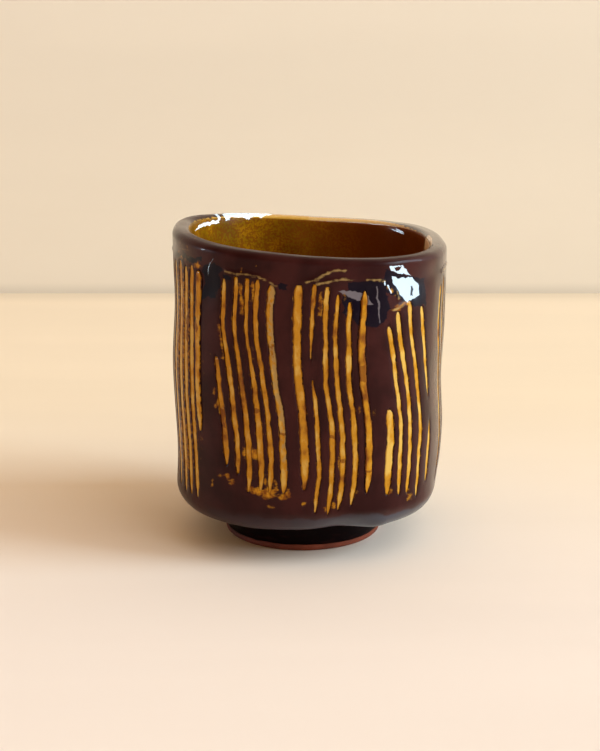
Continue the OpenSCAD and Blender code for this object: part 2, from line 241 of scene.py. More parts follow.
# Glaze smeared over the slip, thinly where the strength is low: bearing, height, half width in degrees,
# half height, strength.
SMEARS = [
    (-24.4, 17.8, 1.6, 0.8, 0.9),
    (-21.0, 17.2, 3.0, 0.9, 1.0),
    (-16.8, 17.0, 2.6, 1.5, 1.0),
    (-14.0, 18.4, 1.2, 1.9, 0.9),
    (-18.0, 19.6, 0.9, 1.4, 0.7),
    (-11.0, 16.4, 2.0, 0.8, 1.0),
    (-8.8, 17.2, 1.0, 1.2, 0.95),
    (-16.0, 14.2, 2.4, 0.7, 0.6),
    (-26.4, 25.4, 1.2, 1.5, 0.8),
    (-22.3, 25.4, 2.2, 1.1, 1.0),
    (-33.4, 19.8, 1.5, 0.8, 0.95),
    (-31.6, 18.6, 1.4, 0.8, 0.9),
    (-37.2, 19.6, 1.3, 0.6, 0.75),
    (-41.2, 17.6, 0.8, 1.0, 0.75),
    (-39.2, 37.2, 1.0, 1.1, 0.75),
    (-57.5, 19.6, 4.5, 2.6, 0.6),
    (-3.0, 14.8, 0.7, 0.7, 0.75),
    (-23.6, 60.6, 1.0, 1.2, 0.5),
    (-26.6, 57.5, 0.8, 3.5, 0.45),
    (-22.0, 57.5, 0.7, 2.0, 0.4),
    (-21.1, 64.6, 0.8, 0.5, 0.8),
    (-26.5, 63.6, 1.0, 0.8, 0.55),
    (-36.5, 33.5, 1.0, 1.2, 0.7),
    (4.0, 57.5, 1.2, 2.4, 0.6),
    (13.4, 59.8, 1.0, 0.9, 0.6),
    (19.6, 35.5, 1.0, 1.1, 0.7),
    (25.5, 35.0, 0.7, 1.6, 0.5),
    (11.6, 24.0, 0.8, 2.0, 0.6),
    (9.6, 14.6, 1.1, 1.1, 0.9),
    (6.2, 13.6, 0.8, 1.0, 0.9),
    (19.0, 17.4, 1.0, 0.8, 0.6),
    (33.0, 17.0, 1.4, 1.6, 0.6),
    (41.6, 16.0, 0.9, 1.2, 0.8),
    (43.4, 14.4, 1.5, 1.4, 0.9),
    (35.0, 56.8, 2.4, 0.7, 0.9),
    (39.0, 57.6, 2.0, 0.6, 0.9),
    (-47.0, 62.6, 1.6, 1.0, 1.0),
    (-19.0, 19.5, 6.0, 3.5, 0.34),
    (-60.0, 47.0, 15.0, 22.0, 0.58),
    (-61.0, 25.0, 15.0, 13.0, 0.54),
    (-23.5, 45.0, 5.0, 9.0, 0.3),
    (-24.0, 56.0, 5.0, 5.0, 0.34),
    (100.0, 18.0, 3.0, 0.9, 0.9),
    (146.0, 16.8, 3.4, 0.8, 0.9),
    (178.0, 17.6, 2.2, 1.2, 0.8),
    (214.0, 17.0, 3.0, 0.8, 0.9),
    (262.0, 17.4, 2.6, 1.0, 0.8),
]

# Scratches that just reach the glaze, each along points of bearing and height.
SCRATCHES = [
    [(-36.6, 51.4), (-35.7, 48.4), (-34.9, 44.5)],
    [(-38.6, 34.2), (-37.0, 35.6), (-36.0, 33.0)],
    [(-27.3, 60.5), (-26.8, 57.0), (-26.6, 54.5)],
    [(-22.3, 61.0), (-22.0, 58.0)],
    [(4.1, 60.0), (3.9, 55.5)],
    [(31.0, 61.4), (33.6, 59.6)],
    [(92.0, 50.0), (91.0, 44.0)],
    [(157.0, 30.0), (158.5, 22.0)],
    [(221.0, 52.0), (220.0, 46.0)],
]

# Where the glaze lies thick and dark over the slip, partly painted: a painted dark reflection under the rim
# at the front and painted shade just under the ridges. Outlines of bearing and height, clockwise.
POOLS_AND_PAINTED_SHADE = [
    [(-44.0, 61.4), (-41.8, 63.2), (-38.2, 63.9), (-34.2, 62.9), (-35.8, 60.2), (-38.5, 57.2), (-44.5, 56.0)],
    [(-72.0, 63.0), (-55.0, 64.2), (-44.0, 64.4), (-44.0, 63.3), (-55.0, 62.7), (-72.0, 61.6)],
    [(-33.5, 62.2), (-30.5, 62.0), (-30.8, 60.6), (-33.5, 60.4)],
    [(-12.5, 61.6), (-8.0, 61.9), (-8.5, 60.2), (-12.0, 60.0)],
    [(15.0, 62.6), (28.8, 62.9), (31.5, 57.9), (30.5, 55.0), (25.0, 52.9), (18.2, 54.3), (12.2, 56.7)],
    [(29.2, 65.3), (49.5, 61.8), (49.2, 56.7), (39.0, 57.6), (28.8, 61.0)],
    [(88.0, 61.0), (91.0, 62.6), (95.5, 62.2), (97.5, 60.0), (95.5, 57.2), (91.5, 55.6), (88.0, 57.6)],
    [(122.0, 60.4), (124.5, 61.8), (127.0, 60.6), (127.6, 57.2), (125.0, 54.2), (122.0, 55.8)],
    [(-176.5, 60.4), (-174.0, 62.2), (-168.5, 61.6), (-167.0, 59.2), (-169.5, 56.8), (-175.0, 57.2)],
    [(-111.5, 60.6), (-109.0, 62.2), (-105.0, 61.2), (-104.5, 58.2), (-107.0, 55.4), (-111.0, 56.8)],
]

# Where a painted grey-blue reflection lies over a pool. The last two outlines are a scraped streak.
PAINTED_REFLECTIONS_AND_SCRAPE = [
    [(11.2, 60.9), (15.0, 61.0), (22.5, 59.8), (21.8, 58.4), (15.0, 59.4)],
    [(21.6, 59.9), (22.5, 59.8), (25.0, 58.1), (21.8, 57.7)],
    [(25.8, 61.6), (26.4, 61.6), (27.4, 57.6), (26.6, 57.6)],
    [(26.6, 57.6), (27.4, 57.6), (27.4, 54.0), (26.9, 54.0)],
]

# Where the glaze in a line is stained dark: bearing, top, bottom, half width in degrees.
STAINS = [
    (-54.3, 51.5, 46.2, 1.6),
    (-48.8, 51.3, 48.9, 1.6),
    (-36.2, 34.0, 30.2, 1.6),
    (-21.2, 35.1, 34.3, 1.8),
    (-11.0, 30.5, 29.8, 2.0),
    (8.2, 30.0, 29.4, 2.2),
    (12.9, 24.9, 24.0, 1.3),
    (23.8, 22.2, 21.6, 2.2),
    (20.5, 45.2, 41.6, 1.4),
    (52.9, 36.6, 33.3, 1.6),
]

# Where the glaze over the slip mirrors the room: bearing, height, half width in degrees, half height,
# strength.
GLOSSES = [
    (-66.0, 64.6, 15.0, 2.4, 0.7),
    (52.0, 63.5, 7.0, 3.0, 0.5),
    (75.0, 44.0, 20.0, 34.0, 1.0),
    (92.0, 61.0, 5.0, 2.0, 0.7),
    (188.0, 61.0, 5.0, 2.0, 0.7),
]

# Where it stands in drops that mirror the window, and gaps in them: outlines of bearing and height,
# clockwise.
WINDOW_DROPS = [
    [(30.8, 66.0), (36.3, 66.0), (43.3, 62.9), (34.0, 64.3), (31.3, 65.2)],
    [(31.9, 63.6), (43.3, 62.6), (46.3, 61.2), (45.8, 58.6), (39.3, 57.7), (33.2, 62.0)],
    [(28.4, 63.0), (29.3, 63.0), (30.0, 61.9), (29.2, 61.9)],
    [(30.2, 62.0), (31.2, 61.9), (32.6, 60.0), (32.0, 59.8)],
]
WINDOW_GAPS = [
    [(42.0, 61.2), (42.8, 61.2), (42.8, 58.8), (41.6, 58.8)],
    [(33.4, 65.6), (36.3, 65.6), (36.0, 64.9), (34.0, 64.7)],
]

# Drops that mirror the doorway on the left.
DOORWAY_DROPS = [
    [(-42.0, 61.0), (-41.2, 63.2), (-40.7, 63.1), (-41.4, 61.0)],
    [(-41.2, 63.2), (-38.6, 64.9), (-38.3, 64.6), (-40.7, 63.0)],
]

# Drops along the lip that mirror the window: outlines of bearing past the back and share across the lip,
# from -1 at its outer side to 1 at its inner side and on down the lining.
LIP_DROPS = [
    [(18, -0.5), (18, 0.5), (24, 0.85), (44, 1.0), (44, 0.3), (40, -0.5)],
    [(45.5, -0.2), (46.5, 0.95), (49.0, 1.05), (47.4, -0.2)],
    [(48.5, 0.9), (48.5, 1.2), (62, 1.4), (76, 1.5), (76, 1.36), (62, 1.05)],
]

# A short streak of the same kind inside the rim, which faces the doorway.
LIP_STREAKS = [[(-52, 1.12), (-52, 1.34), (-42, 1.02), (-42, 0.8)]]

# Where a pale sheen is painted on the inner edge of the lip, at the right.
LIP_SHEENS = [[(-114, 0.85), (-112, 1.35), (-95, 2.1), (-82, 1.6), (-79, 0.5), (-97, 0.5)]]

# The ways that drops and the right flank face where they mirror the window, the doorway and the room.
TO_WINDOW = Vector((0.58, -0.74, 0.335))
TO_DOORWAY = Vector((-0.63, -0.73, 0.27))
TO_RIGHT = Vector((1.0, 0.06, 0.0))

# The way that most of the room's light comes from.
TO_ROOM_LIGHT = Vector((0.62, 0.25, 0.74))

# The lamps: place, width and height in metres.
WINDOW = ((3.52, -0.69, 1.40), 1.63, 2.35)
DOORWAY = ((-1.6, -0.13, 0.3), 0.1, 0.4)
SKYLIGHT = ((1.5, -1.2, 2.1), 2.24, 2.24)
LAMPS_AIM = (0, 0, 35 * MM)

# Sizes of the stage in metres.
TABLE_SIZE = 6.0
WALL_SIZE = 3.0


class CupShape(bpy.types.PropertyGroup):
    """Sizes of the pressed cup, the same as those of its solids."""

    height: FloatProperty(
        name="Height", description="Mean height of the rim", default=67.4 * MM, unit="LENGTH"
    )
    rim_width: FloatProperty(
        name="Rim width", description="Width across the flats at the lip",
        default=59.6 * MM, unit="LENGTH",
    )
    base_width: FloatProperty(
        name="Base width", description="Width across the flats above the shoulder",
        default=58.8 * MM, unit="LENGTH",
    )
    squareness: FloatProperty(
        name="Squareness", description="2 is a circle, more is squarer", default=2.5, min=2
    )
    shoulder_radius: FloatProperty(
        name="Shoulder radius", description="Round between side and underside",
        default=4.8 * MM, unit="LENGTH",
    )
    underside_rise: FloatProperty(
        name="Underside rise", description="Rise from the foot to the shoulder",
        default=2.0 * MM, unit="LENGTH",
    )
    press_depth: FloatProperty(
        name="Press depth", description="Depth of a finger mark of push 1",
        default=1.0 * MM, unit="LENGTH",
    )
    lip_thickness: FloatProperty(
        name="Lip thickness", description="Wall at the lip, coats included",
        default=4.2 * MM, unit="LENGTH",
    )
    lip_edge: FloatProperty(
        name="Lip edge", description="Radius of both edges of the flat lip",
        default=1.6 * MM, unit="LENGTH",
    )
    wall_thickness: FloatProperty(
        name="Wall thickness", description="Wall at the floor, coats included",
        default=5.0 * MM, unit="LENGTH",
    )
    floor_height: FloatProperty(
        name="Floor height", description="Inside floor above the table", default=12.6 * MM, unit="LENGTH"
    )
    inside_radius: FloatProperty(
        name="Inside radius", description="Round between wall and floor inside",
        default=9.0 * MM, unit="LENGTH",
    )
    rim_tilt: FloatProperty(
        name="Rim tilt", description="How far the rim rises at its high side",
        default=1.7 * MM, unit="LENGTH",
    )
    rim_tilt_bearing: FloatProperty(
        name="Rim tilt bearing", description="High side of the rim, degrees", default=-84
    )
    rim_wave: FloatProperty(
        name="Rim wave", description="How far the rim waves twice round", default=0.5 * MM, unit="LENGTH"
    )
    rim_wave_bearing: FloatProperty(
        name="Rim wave bearing", description="Crest of the wave, degrees", default=-80
    )
    foot_shift: FloatProperty(
        name="Foot shift", description="How far the foot sits off the middle",
        default=1.4 * MM, unit="LENGTH",
    )
    hand_swell: FloatProperty(
        name="Hand swell", description="Depth of the soft unevenness of the sides",
        default=0.14 * MM, unit="LENGTH",
    )


class Carving(bpy.types.PropertyGroup):
    """Sizes of the slip and of the lines cut through it."""

    slip_thickness: FloatProperty(
        name="Slip thickness", description="Thickness of the dark coat", default=0.6 * MM, unit="LENGTH"
    )
    line_width: FloatProperty(
        name="Line width", description="Width of a share of 1", default=1.5 * MM, unit="LENGTH"
    )
    line_low: FloatProperty(
        name="Lowest line", description="Height where the lines begin", default=11.8 * MM, unit="LENGTH"
    )
    line_high: FloatProperty(
        name="Highest line", description="Height where the lines end", default=62.8 * MM, unit="LENGTH"
    )
    top_tip: FloatProperty(
        name="Top tip", description="Length over which a line runs out at its top",
        default=1.5 * MM, unit="LENGTH",
    )
    bottom_tip: FloatProperty(
        name="Bottom tip", description="Length over which it runs out at its foot",
        default=3.0 * MM, unit="LENGTH",
    )
    skip_tip: FloatProperty(
        name="Skip tip", description="Length over which it runs out at a skip",
        default=6.0 * MM, unit="LENGTH",
    )
    edge_wobble: FloatProperty(
        name="Edge wobble", description="How far the edges of a line stray",
        default=0.2 * MM, unit="LENGTH",
    )
    glaze_depth: FloatProperty(
        name="Glaze depth", description="How far the line glaze lies below the slip",
        default=0.16 * MM, unit="LENGTH",
    )
    ridge_height: FloatProperty(
        name="Ridge height", description="Height of slip pushed up by the tool",
        default=0.24 * MM, unit="LENGTH",
    )
    gap_columns: IntProperty(
        name="Gap columns", description="Mesh columns between two groups", default=6, min=2
    )


class Finishes(bpy.types.PropertyGroup):
    """Colours of the cup's coats and clay."""

    slip: FloatVectorProperty(
        name="Slip", description="Dark slip in the light",
        subtype="COLOR", default=(0.046, 0.0096, 0.0086),
    )
    # Darker clouds in the slip, and also the painted shade on the lip's top and beside the lines.
    slip_dark_and_painted_shade: FloatVectorProperty(
        name="Slip shade", description="Darker clouds in the slip",
        subtype="COLOR", default=(0.023, 0.0042, 0.0040),
    )
    # Also paints shade and a dark reflection: near-black navy under the rim at the front and just under the
    # ridges.
    pool: FloatVectorProperty(
        name="Pooled glaze", description="Thick dark glaze under the rim",
        subtype="COLOR", default=(0.0022, 0.0014, 0.0075),
    )
    # A painted reflection of the room over a pool, and the colour of a scraped streak.
    painted_reflection_and_scrape: FloatVectorProperty(
        name="Pale film", description="Thin pale glaze over a pool",
        subtype="COLOR", default=(0.17, 0.145, 0.16),
    )
    # A painted reflection: the blue-grey band stands in for the table mirrored low on the shoulder.
    low_painted_reflection: FloatVectorProperty(
        name="Low film", description="Blue-grey glaze low on the shoulder",
        subtype="COLOR", default=(0.042, 0.05, 0.075),
    )
    # A painted sheen: the pale tan colour stands in for a reflection on the inner edge of the lip.
    painted_sheen: FloatVectorProperty(
        name="Rubbed lip", description="Pale rubbed edge of the lip",
        subtype="COLOR", default=(0.85, 0.60, 0.39),
    )
    amber: FloatVectorProperty(
        name="Amber", description="Amber glaze in the lines", subtype="COLOR", default=(0.50, 0.22, 0.010)
    )
    straw: FloatVectorProperty(
        name="Straw", description="Palest glaze in the lines",
        subtype="COLOR", default=(0.63, 0.38, 0.075),
    )
    burnt: FloatVectorProperty(
        name="Burnt amber", description="Thick brown glaze in the lines",
        subtype="COLOR", default=(0.19, 0.055, 0.004),
    )
    # Partly a pale crust, partly a painted highlight on the tops of the ridges and on one line's burr.
    crust_and_painted_highlight: FloatVectorProperty(
        name="Crust", description="Pale crust on ridges of slip",
        subtype="COLOR", default=(0.41, 0.27, 0.095),
    )
    olive: FloatVectorProperty(
        name="Olive", description="Inner glaze where it is thin",
        subtype="COLOR", default=(0.15, 0.075, 0.0008),
    )
    honey: FloatVectorProperty(
        name="Honey", description="Inner glaze where it is clear",
        subtype="COLOR", default=(0.36, 0.15, 0.002),
    )
    # Also paints the shade on the right of the inside.
    inner_brown_and_shade: FloatVectorProperty(
        name="Inner brown", description="Inner glaze where it is thick",
        subtype="COLOR", default=(0.145, 0.029, 0.0028),
    )
    clay: FloatVectorProperty(
        name="Clay", description="Bare red clay", subtype="COLOR", default=(0.19, 0.04, 0.018)
    )
    foot_slip: FloatVectorProperty(
        name="Foot slip", description="Slip on the side of the foot",
        subtype="COLOR", default=(0.0035, 0.0010, 0.0013),
    )


class Table(bpy.types.PropertyGroup):
    """The table, the wall behind it, the light and the camera."""

    table_colour: FloatVectorProperty(
        name="Table", description="Colour of the table", subtype="COLOR", default=(0.85, 0.755, 0.69)
    )
    table_far: FloatVectorProperty(
        name="Table far off", description="Table top towards the wall",
        subtype="COLOR", default=(0.83, 0.705, 0.545),
    )
    wall_colour: FloatVectorProperty(
        name="Wall", description="Colour of the wall behind",
        subtype="COLOR", default=(0.85, 0.795, 0.705),
    )
    wall_distance: FloatProperty(
        name="Wall distance", description="From the cup to the wall behind",
        default=264 * MM, unit="LENGTH",
    )
    window_colour: FloatVectorProperty(
        name="Window light", description="Colour of the window on the right",
        subtype="COLOR", default=(0.67, 0.87, 1.0),
    )
    window_power: FloatProperty(
        name="Window power", description="Power of the window", default=176, unit="POWER"
    )
    skylight_colour: FloatVectorProperty(
        name="Skylight", description="Colour of the soft light from above",
        subtype="COLOR", default=(0.72, 0.90, 1.0),
    )
    skylight_power: FloatProperty(
        name="Skylight power", description="Power of the soft light from above", default=29, unit="POWER"
    )
    doorway_power: FloatProperty(
        name="Doorway power", description="Power of the doorway's glint on the left",
        default=8.5, unit="POWER",
    )
    fill_colour: FloatVectorProperty(
        name="Room light", description="Colour of the light of the room",
        subtype="COLOR", default=(1.0, 0.60, 0.27),
    )
    fill_strength: FloatProperty(
        name="Room strength", description="Strength of the light of the room", default=0.77
    )
    camera_distance: FloatProperty(
        name="Camera distance", description="From the cup's middle, along the table",
        default=340 * MM, unit="LENGTH",
    )
    camera_height: FloatProperty(
        name="Camera height", description="Above the table", default=122.95 * MM, unit="LENGTH"
    )
    camera_side: FloatProperty(
        name="Camera side", description="To the right of the cup's middle",
        default=-2.06 * MM, unit="LENGTH",
    )
    aim_height: FloatProperty(
        name="Aim height", description="Height that the camera looks at",
        default=35.05 * MM, unit="LENGTH",
    )
    focal_length: FloatProperty(
        name="Focal length", description="Of a 36 mm sensor, in millimetres", default=75.47
    )


def shape():
    """The sizes of the cup."""
    return bpy.context.scene.sake_cup_shape


def carving():
    """The sizes of the slip and its lines."""
    return bpy.context.scene.sake_cup_carving


def finishes():
    """The colours of the coats and the clay."""
    return bpy.context.scene.sake_cup_finishes


def table():
    """The settings of the table, the light and the camera."""
    return bpy.context.scene.sake_cup_table


# General helpers


def mix(first, second, share):
    """The value a share of the way from the first to the second."""
    return first + (second - first) * share


def smooth(values, share):
    """The value a share of the way along evenly spaced values, on a curve through each of them."""
    place = min(max(share, 0.0), 1.0) * (len(values) - 1)
    start = min(int(place), len(values) - 2)
    t = place - start
    first, second = values[start], values[start + 1]
    before = values[max(start - 1, 0)]
    after = values[min(start + 2, len(values) - 1)]
    curve = 2 * before - 5 * first + 4 * second - after + t * (3 * (first - second) + after - before)
    return first + 0.5 * t * (second - before + t * curve)


def turn(angle):
    """The same angle between -180 and 180 degrees."""
    return (angle + 180) % 360 - 180


def ramp(value, low, high):
    """The share of the way from low to high, kept between 0 and 1."""
    return min(max((value - low) / (high - low), 0.0), 1.0)


def bell(distance, reach):
    """1 at no distance, falling off smoothly, and about a third at the reach."""
    return math.exp(-((distance / reach) ** 2))


def around(bearing, reach, level=0.0):
    """A place on a circle, for noise that closes on itself round the cup."""
    angle = math.radians(bearing)
    return Vector((reach * math.sin(angle), reach * math.cos(angle), level))


# The cup's form


def plan(bearing):
    """How far out the squared plan reaches at a bearing, as a share of its half width."""
    angle = math.radians(bearing)
    power = shape().squareness
    return (abs(math.cos(angle)) ** power + abs(math.sin(angle)) ** power) ** (-1 / power)


def press(bearing, z):
    """How far the finger marks push the wall out."""
    share = z / shape().height
    pushes = [
        push * bell(turn(bearing - middle), spread) * bell(share - level, rise)
        for middle, level, push, spread, rise in FINGER_MARKS + THUMB_DENTS
    ]
    return shape().press_depth * sum(pushes)


def rim_lift(bearing):
    """How far the tilt and the wave raise the rim."""
    cup = shape()
    tilt = cup.rim_tilt * math.cos(math.radians(bearing - cup.rim_tilt_bearing))
    return tilt + cup.rim_wave * math.cos(2 * math.radians(bearing - cup.rim_wave_bearing))


def body_point(bearing, half, z):
    """A point of the squared body, from its half width and its height before the rim's tilt."""
    cup = shape()
    out = plan(bearing) * half + press(bearing, z)
    up = rim_lift(bearing) * max(0.0, z - cup.floor_height) / (cup.height - cup.floor_height)
    angle = math.radians(bearing)
    return Vector((out * math.sin(angle), -out * math.cos(angle), z + up))


def foot_point(bearing, radius, z):
    """A point of the round foot."""
    angle = math.radians(bearing)
    return Vector((radius * math.sin(angle) - shape().foot_shift, -radius * math.cos(angle), z))


def lip_height():
    """Height where the wall ends and the edges of the lip begin."""
    return shape().height - shape().lip_edge


def shoulder_centre():
    """Half width and height of the middle of the rounded shoulder."""
    cup = shape()
    seat = FOOT_HIGH.z - SEAT_STEP
    return cup.base_width / 2 - cup.shoulder_radius, seat + cup.underside_rise + cup.shoulder_radius


def wall_half(z):
    """Half width of the side at a height."""
    cup = shape()
    low, high = shoulder_centre()[1], lip_height()
    return mix(cup.base_width, cup.rim_width, (z - low) / (high - low)) / 2


def inside_half(z):
    """Half width of the inside at a height."""
    cup = shape()
    high = lip_height()
    thickness = mix(cup.lip_thickness, cup.wall_thickness, (high - z) / (high - cup.floor_height))
    return wall_half(z) - thickness


class Row:
    """A ring of the cup's profile: half width, height, and the way out of the surface there."""

    def __init__(self, half, z, out, up, foot_share=0.0):
        self.half = half
        self.z = z
        self.out = out
        self.up = up
        self.foot_share = foot_share

    def point(self, bearing, lift):
        """The point at a bearing, lifted off the surface. The foot share draws it in to the round foot."""
        half, z = self.half + self.out * lift, self.z + self.up * lift
        place = body_point(bearing, half, z)
        if self.foot_share:
            seat = foot_point(bearing, half, z)
            place = place.lerp(seat, self.foot_share)
        return place


def arc_rows(centre, radius, angles):
    """Rows along an arc of the profile, with the way out along its radius."""
    half, z = centre
    rows = []
    for angle in angles:
        out, up = math.cos(math.radians(angle)), math.sin(math.radians(angle))
        rows.append(Row(half + radius * out, z + radius * up, out, up))
    return rows


def lip_rows(angles):
    """Rows over the lip, from 0 degrees outside over the flat top to 180 inside."""
    cup = shape()
    outer = (cup.rim_width / 2 - cup.lip_edge, lip_height())
    inner = (cup.rim_width / 2 - cup.lip_thickness + cup.lip_edge, lip_height())
    rising = [angle for angle in angles if angle <= 90]
    falling = [angle for angle in angles if angle >= 90]
    return arc_rows(outer, cup.lip_edge, rising) + arc_rows(inner, cup.lip_edge, falling)


def lip_across(row):
    """Where a row lies across the lip: -1 at its outer side, 1 at its inner side, more down the inside."""
    cup = shape()
    if row.z < lip_height():
        return 1 + 2 * (lip_height() - row.z) / cup.lip_thickness
    return (cup.rim_width - cup.lip_thickness - 2 * row.half) / cup.lip_thickness


def underside_rows(count):
    """Rows from the foot to the shoulder."""
    half, z = shoulder_centre()
    high = z - shape().shoulder_radius
    low = high - shape().underside_rise
    seat = FOOT_SLIP_HIGH.x + shape().foot_shift + SEAT_GAP
    shares = [i / count for i in range(count)]
    return [Row(mix(seat, half, share), mix(low, high, share), 0, -1, 1 - share) for share in shares]


def steps(low, high, size):
    """Even steps from low up to, and not including, high, about that size."""
    count = max(1, round((high - low) / size))
    return [mix(low, high, i / count) for i in range(count)]


def outside_rows():
    """Every row of the slip from the foot over the side and the lip, closer where the lines begin and end."""
    heights = steps(shoulder_centre()[1], COARSE_LOW, 0.5 * MM)
    heights += steps(COARSE_LOW, COARSE_HIGH, 0.75 * MM)
    heights += steps(COARSE_HIGH, lip_height(), 0.4 * MM)
    shoulder = arc_rows(shoulder_centre(), shape().shoulder_radius, range(-90, 0, 10))
    side = [Row(wall_half(z), z, 1, 0) for z in heights]
    return underside_rows(4) + shoulder + side + lip_rows(range(0, LINING_START + 1, 10))


# The carved lines


class Line:
    """One carved line of a group."""

    def __init__(self, group, number, bearing, sway, depth, offset, above, below, widths, tone):
        self.group = group
        self.number = number
        self.home = bearing + offset
        self.sway = SWAYS[sway]
        self.depth = depth * carving().glaze_depth
        self.wobble = (0.25 + 0.75 * depth) * carving().edge_wobble
        self.top = 1 - above
        self.bottom = below
        self.widths = widths
        self.tone = tone
        self.skips = [(at, half) for g, n, at, half in SKIPS if (g, n) == (group, number)]
        self.degrees = math.degrees(1 / (plan(self.home) * shape().rim_width / 2))

    def share(self, z):
        """A height as a share of the carved height."""
        return (z - carving().line_low) / (carving().line_high - carving().line_low)

    def middle(self, z):
        """Bearing of the middle of the line."""
        wander = 1.5 * self.wobble * noise.noise(Vector((self.home, 1.9, z / (9 * MM))))
        return self.home + smooth(self.sway, self.share(z)) + wander * self.degrees

    def width(self, z):
        """The width at a height, which runs out at both ends and at a skip."""
        share = self.share(z)
        height = carving().line_high - carving().line_low
        ends = [
            ((self.top - share) * height / carving().top_tip, TOP_TAPER),
            ((share - self.bottom) * height / carving().bottom_tip, FOOT_TAPER),
        ]
        for at, half in self.skips:
            ends.append(((abs(share - at) - half) * height / carving().skip_tip, SKIP_TAPER))
        run_out = min(ramp(away, 0, 1) ** taper for away, taper in ends)
        return carving().line_width * smooth(self.widths, share) * run_out

    def is_open(self, z):
        """Whether the tool cut through the slip at a height."""
        return self.width(z) > OPEN_SHARE * carving().line_width

    def edge(self, z, side, past=0.0):
        """Bearing of the left (-1) or right (1) edge, or a little past it."""
        stray = noise.noise(Vector((7.3 * self.home, side * 3.1, z / (2.2 * MM))))
        stray += 0.5 * noise.noise(Vector((3.7 * self.home, side * 5.3, z / (0.8 * MM))))
        half = max(self.width(z) / 2, 0.05 * carving().line_width)
        reach = half + past + self.wobble * stray * min(1, half / (0.3 * carving().line_width))
        return self.middle(z) + side * reach * self.degrees


def carve_lines():
    """Every line in order round the cup."""
    lines = []
    for group, (bearing, sway, kind, depth) in enumerate(GROUPS):
        for number, line in enumerate(LINES[kind]):
            lines.append(Line(group, number, bearing, sway, depth, *line))
    return lines


class EdgeColumn:
    """A mesh column along one edge of a line, or along the crest just past it."""

    def __init__(self, line, side, past):
        self.line = line
        self.side = side
        self.past = past

    def bearing(self, z):
        return self.line.edge(z, self.side, self.past)

    def lift(self, z):
        if not self.line.is_open(z):
            return 0.0
        return CREST_RISE if self.past else -EDGE_SINK

    def nearness(self, z):
        """How near the column is to an open edge, from 0 to 1."""
        return (0.55 if self.past else 1.0) if self.line.is_open(z) else 0.0


class LandColumn:
    """A mesh column on the plain slip, a share of the way from one line to the next."""

    def __init__(self, line, following, share):
        self.line = line
        self.following = following
        self.share = share

    def bearing(self, z):
        start = self.line.edge(z, 1, CREST_REACH)
        end = self.following.edge(z, -1, CREST_REACH)
        return start + self.share * turn(end - start)

    def lift(self, z):
        return 0.0

    def nearness(self, z):
        return 0.0


def slip_columns(lines):
    """The columns of the slip's mesh, four along each line and some on the slip between lines."""
    columns = []
    for i, line in enumerate(lines):
        following = lines[(i + 1) % len(lines)]
        for side, past in ((-1, CREST_REACH), (-1, 0.0), (1, 0.0), (1, CREST_REACH)):
            columns.append(EdgeColumn(line, side, past))
        count = 1 if following.group == line.group else carving().gap_columns
        columns += [LandColumn(line, following, (k + 1) / (count + 1)) for k in range(count)]
    return columns


# The slip's unevenness and marks


def path_distance(bearing, z, path):
    """How far a place on the side is from a path of bearings and heights, in metres."""
    here = Vector((0.0, z / MM))
    start = path[0][0]
    offset = turn(start - bearing)
    points = [Vector((MM_PER_DEGREE * (offset + b - start), height)) for b, height in path]
    nearest = 1e9
    for first, second in zip(points, points[1:]):
        along = second - first
        share = min(max((here - first).dot(along) / along.length_squared, 0), 1)
        nearest = min(nearest, (first + share * along - here).length)
    return nearest * MM


def ridge_share(bearing, z):
    """How high the slip stands in a pushed-up ridge, from 0 to 1, broken into beads."""
    if z < RIDGES_LOW:
        return 0.0
    beads = 0.75 + 0.35 * noise.noise(Vector((bearing / 1.6, z / MM, 4.2)))
    nearest = min(path_distance(bearing, z, path) for path in RIDGES)
    return bell(nearest, RIDGE_REACH) * min(beads, 1)


def patch_share(bearing, z, patches):
    """The strongest of a list of soft patches at a place."""
    strongest = 0.0
    for middle, height, wide, tall, strength in patches:
        across, along = turn(bearing - middle) / wide, (z / MM - height) / tall
        near = across * across + along * along
        if near < 6:
            strongest = max(strongest, math.exp(-near) * strength)
    return strongest


def lining_share(bearing, row):
    """How far the inner glaze runs up the lip, from 0 outside to 1 inside. It runs over it at the back."""
    if row.z < lip_height():
        return 0.0
    over_back = min(1.6, 2.6 * bell(turn(bearing - 175), 27))
    return ramp(lip_across(row) - 0.35 + over_back, 0, 1)


def gloss_share(bearing, row):
    """How glossy the glaze over the slip is: on the lip, low on the shoulder and in a few patches.

    The lip is dull at the front, up to its inner edge, and at the left.
    """
    on_lip = ramp(row.z, lip_height() + 0.4 * MM, lip_height() + 1.0 * MM)
    dull_front = min(0.95, 1.6 * bell(turn(bearing + 5), 65)) * ramp(lip_across(row), 0.95, 0.8)
    dull_left = 0.92 * bell(turn(bearing + 118), 28)
    lip = on_lip * (1 - max(dull_front, dull_left))
    shoulder = ramp(row.z, 13 * MM, 11 * MM) * (0.05 + 0.45 * bell(turn(bearing - 32), 40))
    return max(lip, shoulder, patch_share(bearing, row.z, GLOSSES))


def swell(bearing, z):
    """Soft unevenness left by the hand."""
    return shape().hand_swell * noise.noise(around(bearing, 3.0, z / (11 * MM)))


# Mesh pieces


def drum(row_count, column_count):
    """A plain drum mesh: each row is a ring one unit up from the last."""
    mesh = bmesh.new()
    posts = [mesh.verts.new((1, 0, row)) for row in range(row_count)]
    edges = [mesh.edges.new(pair) for pair in zip(posts, posts[1:])]
    bmesh.ops.spin(
        mesh, geom=posts + edges, cent=(0, 0, 0), axis=(0, 0, 1),
        angle=2 * math.pi, steps=column_count, use_merge=True,
    )
    return mesh


def drum_column(place, column_count):
    """The column of a drum that a place is on, as a number that may lie between two."""
    return math.atan2(place.y, place.x) / (2 * math.pi) * column_count % column_count


def drum_bearing(place, column_count):
    """The bearing that a place on an evenly divided drum stands for."""
    return round(drum_column(place, column_count)) * 360 / column_count


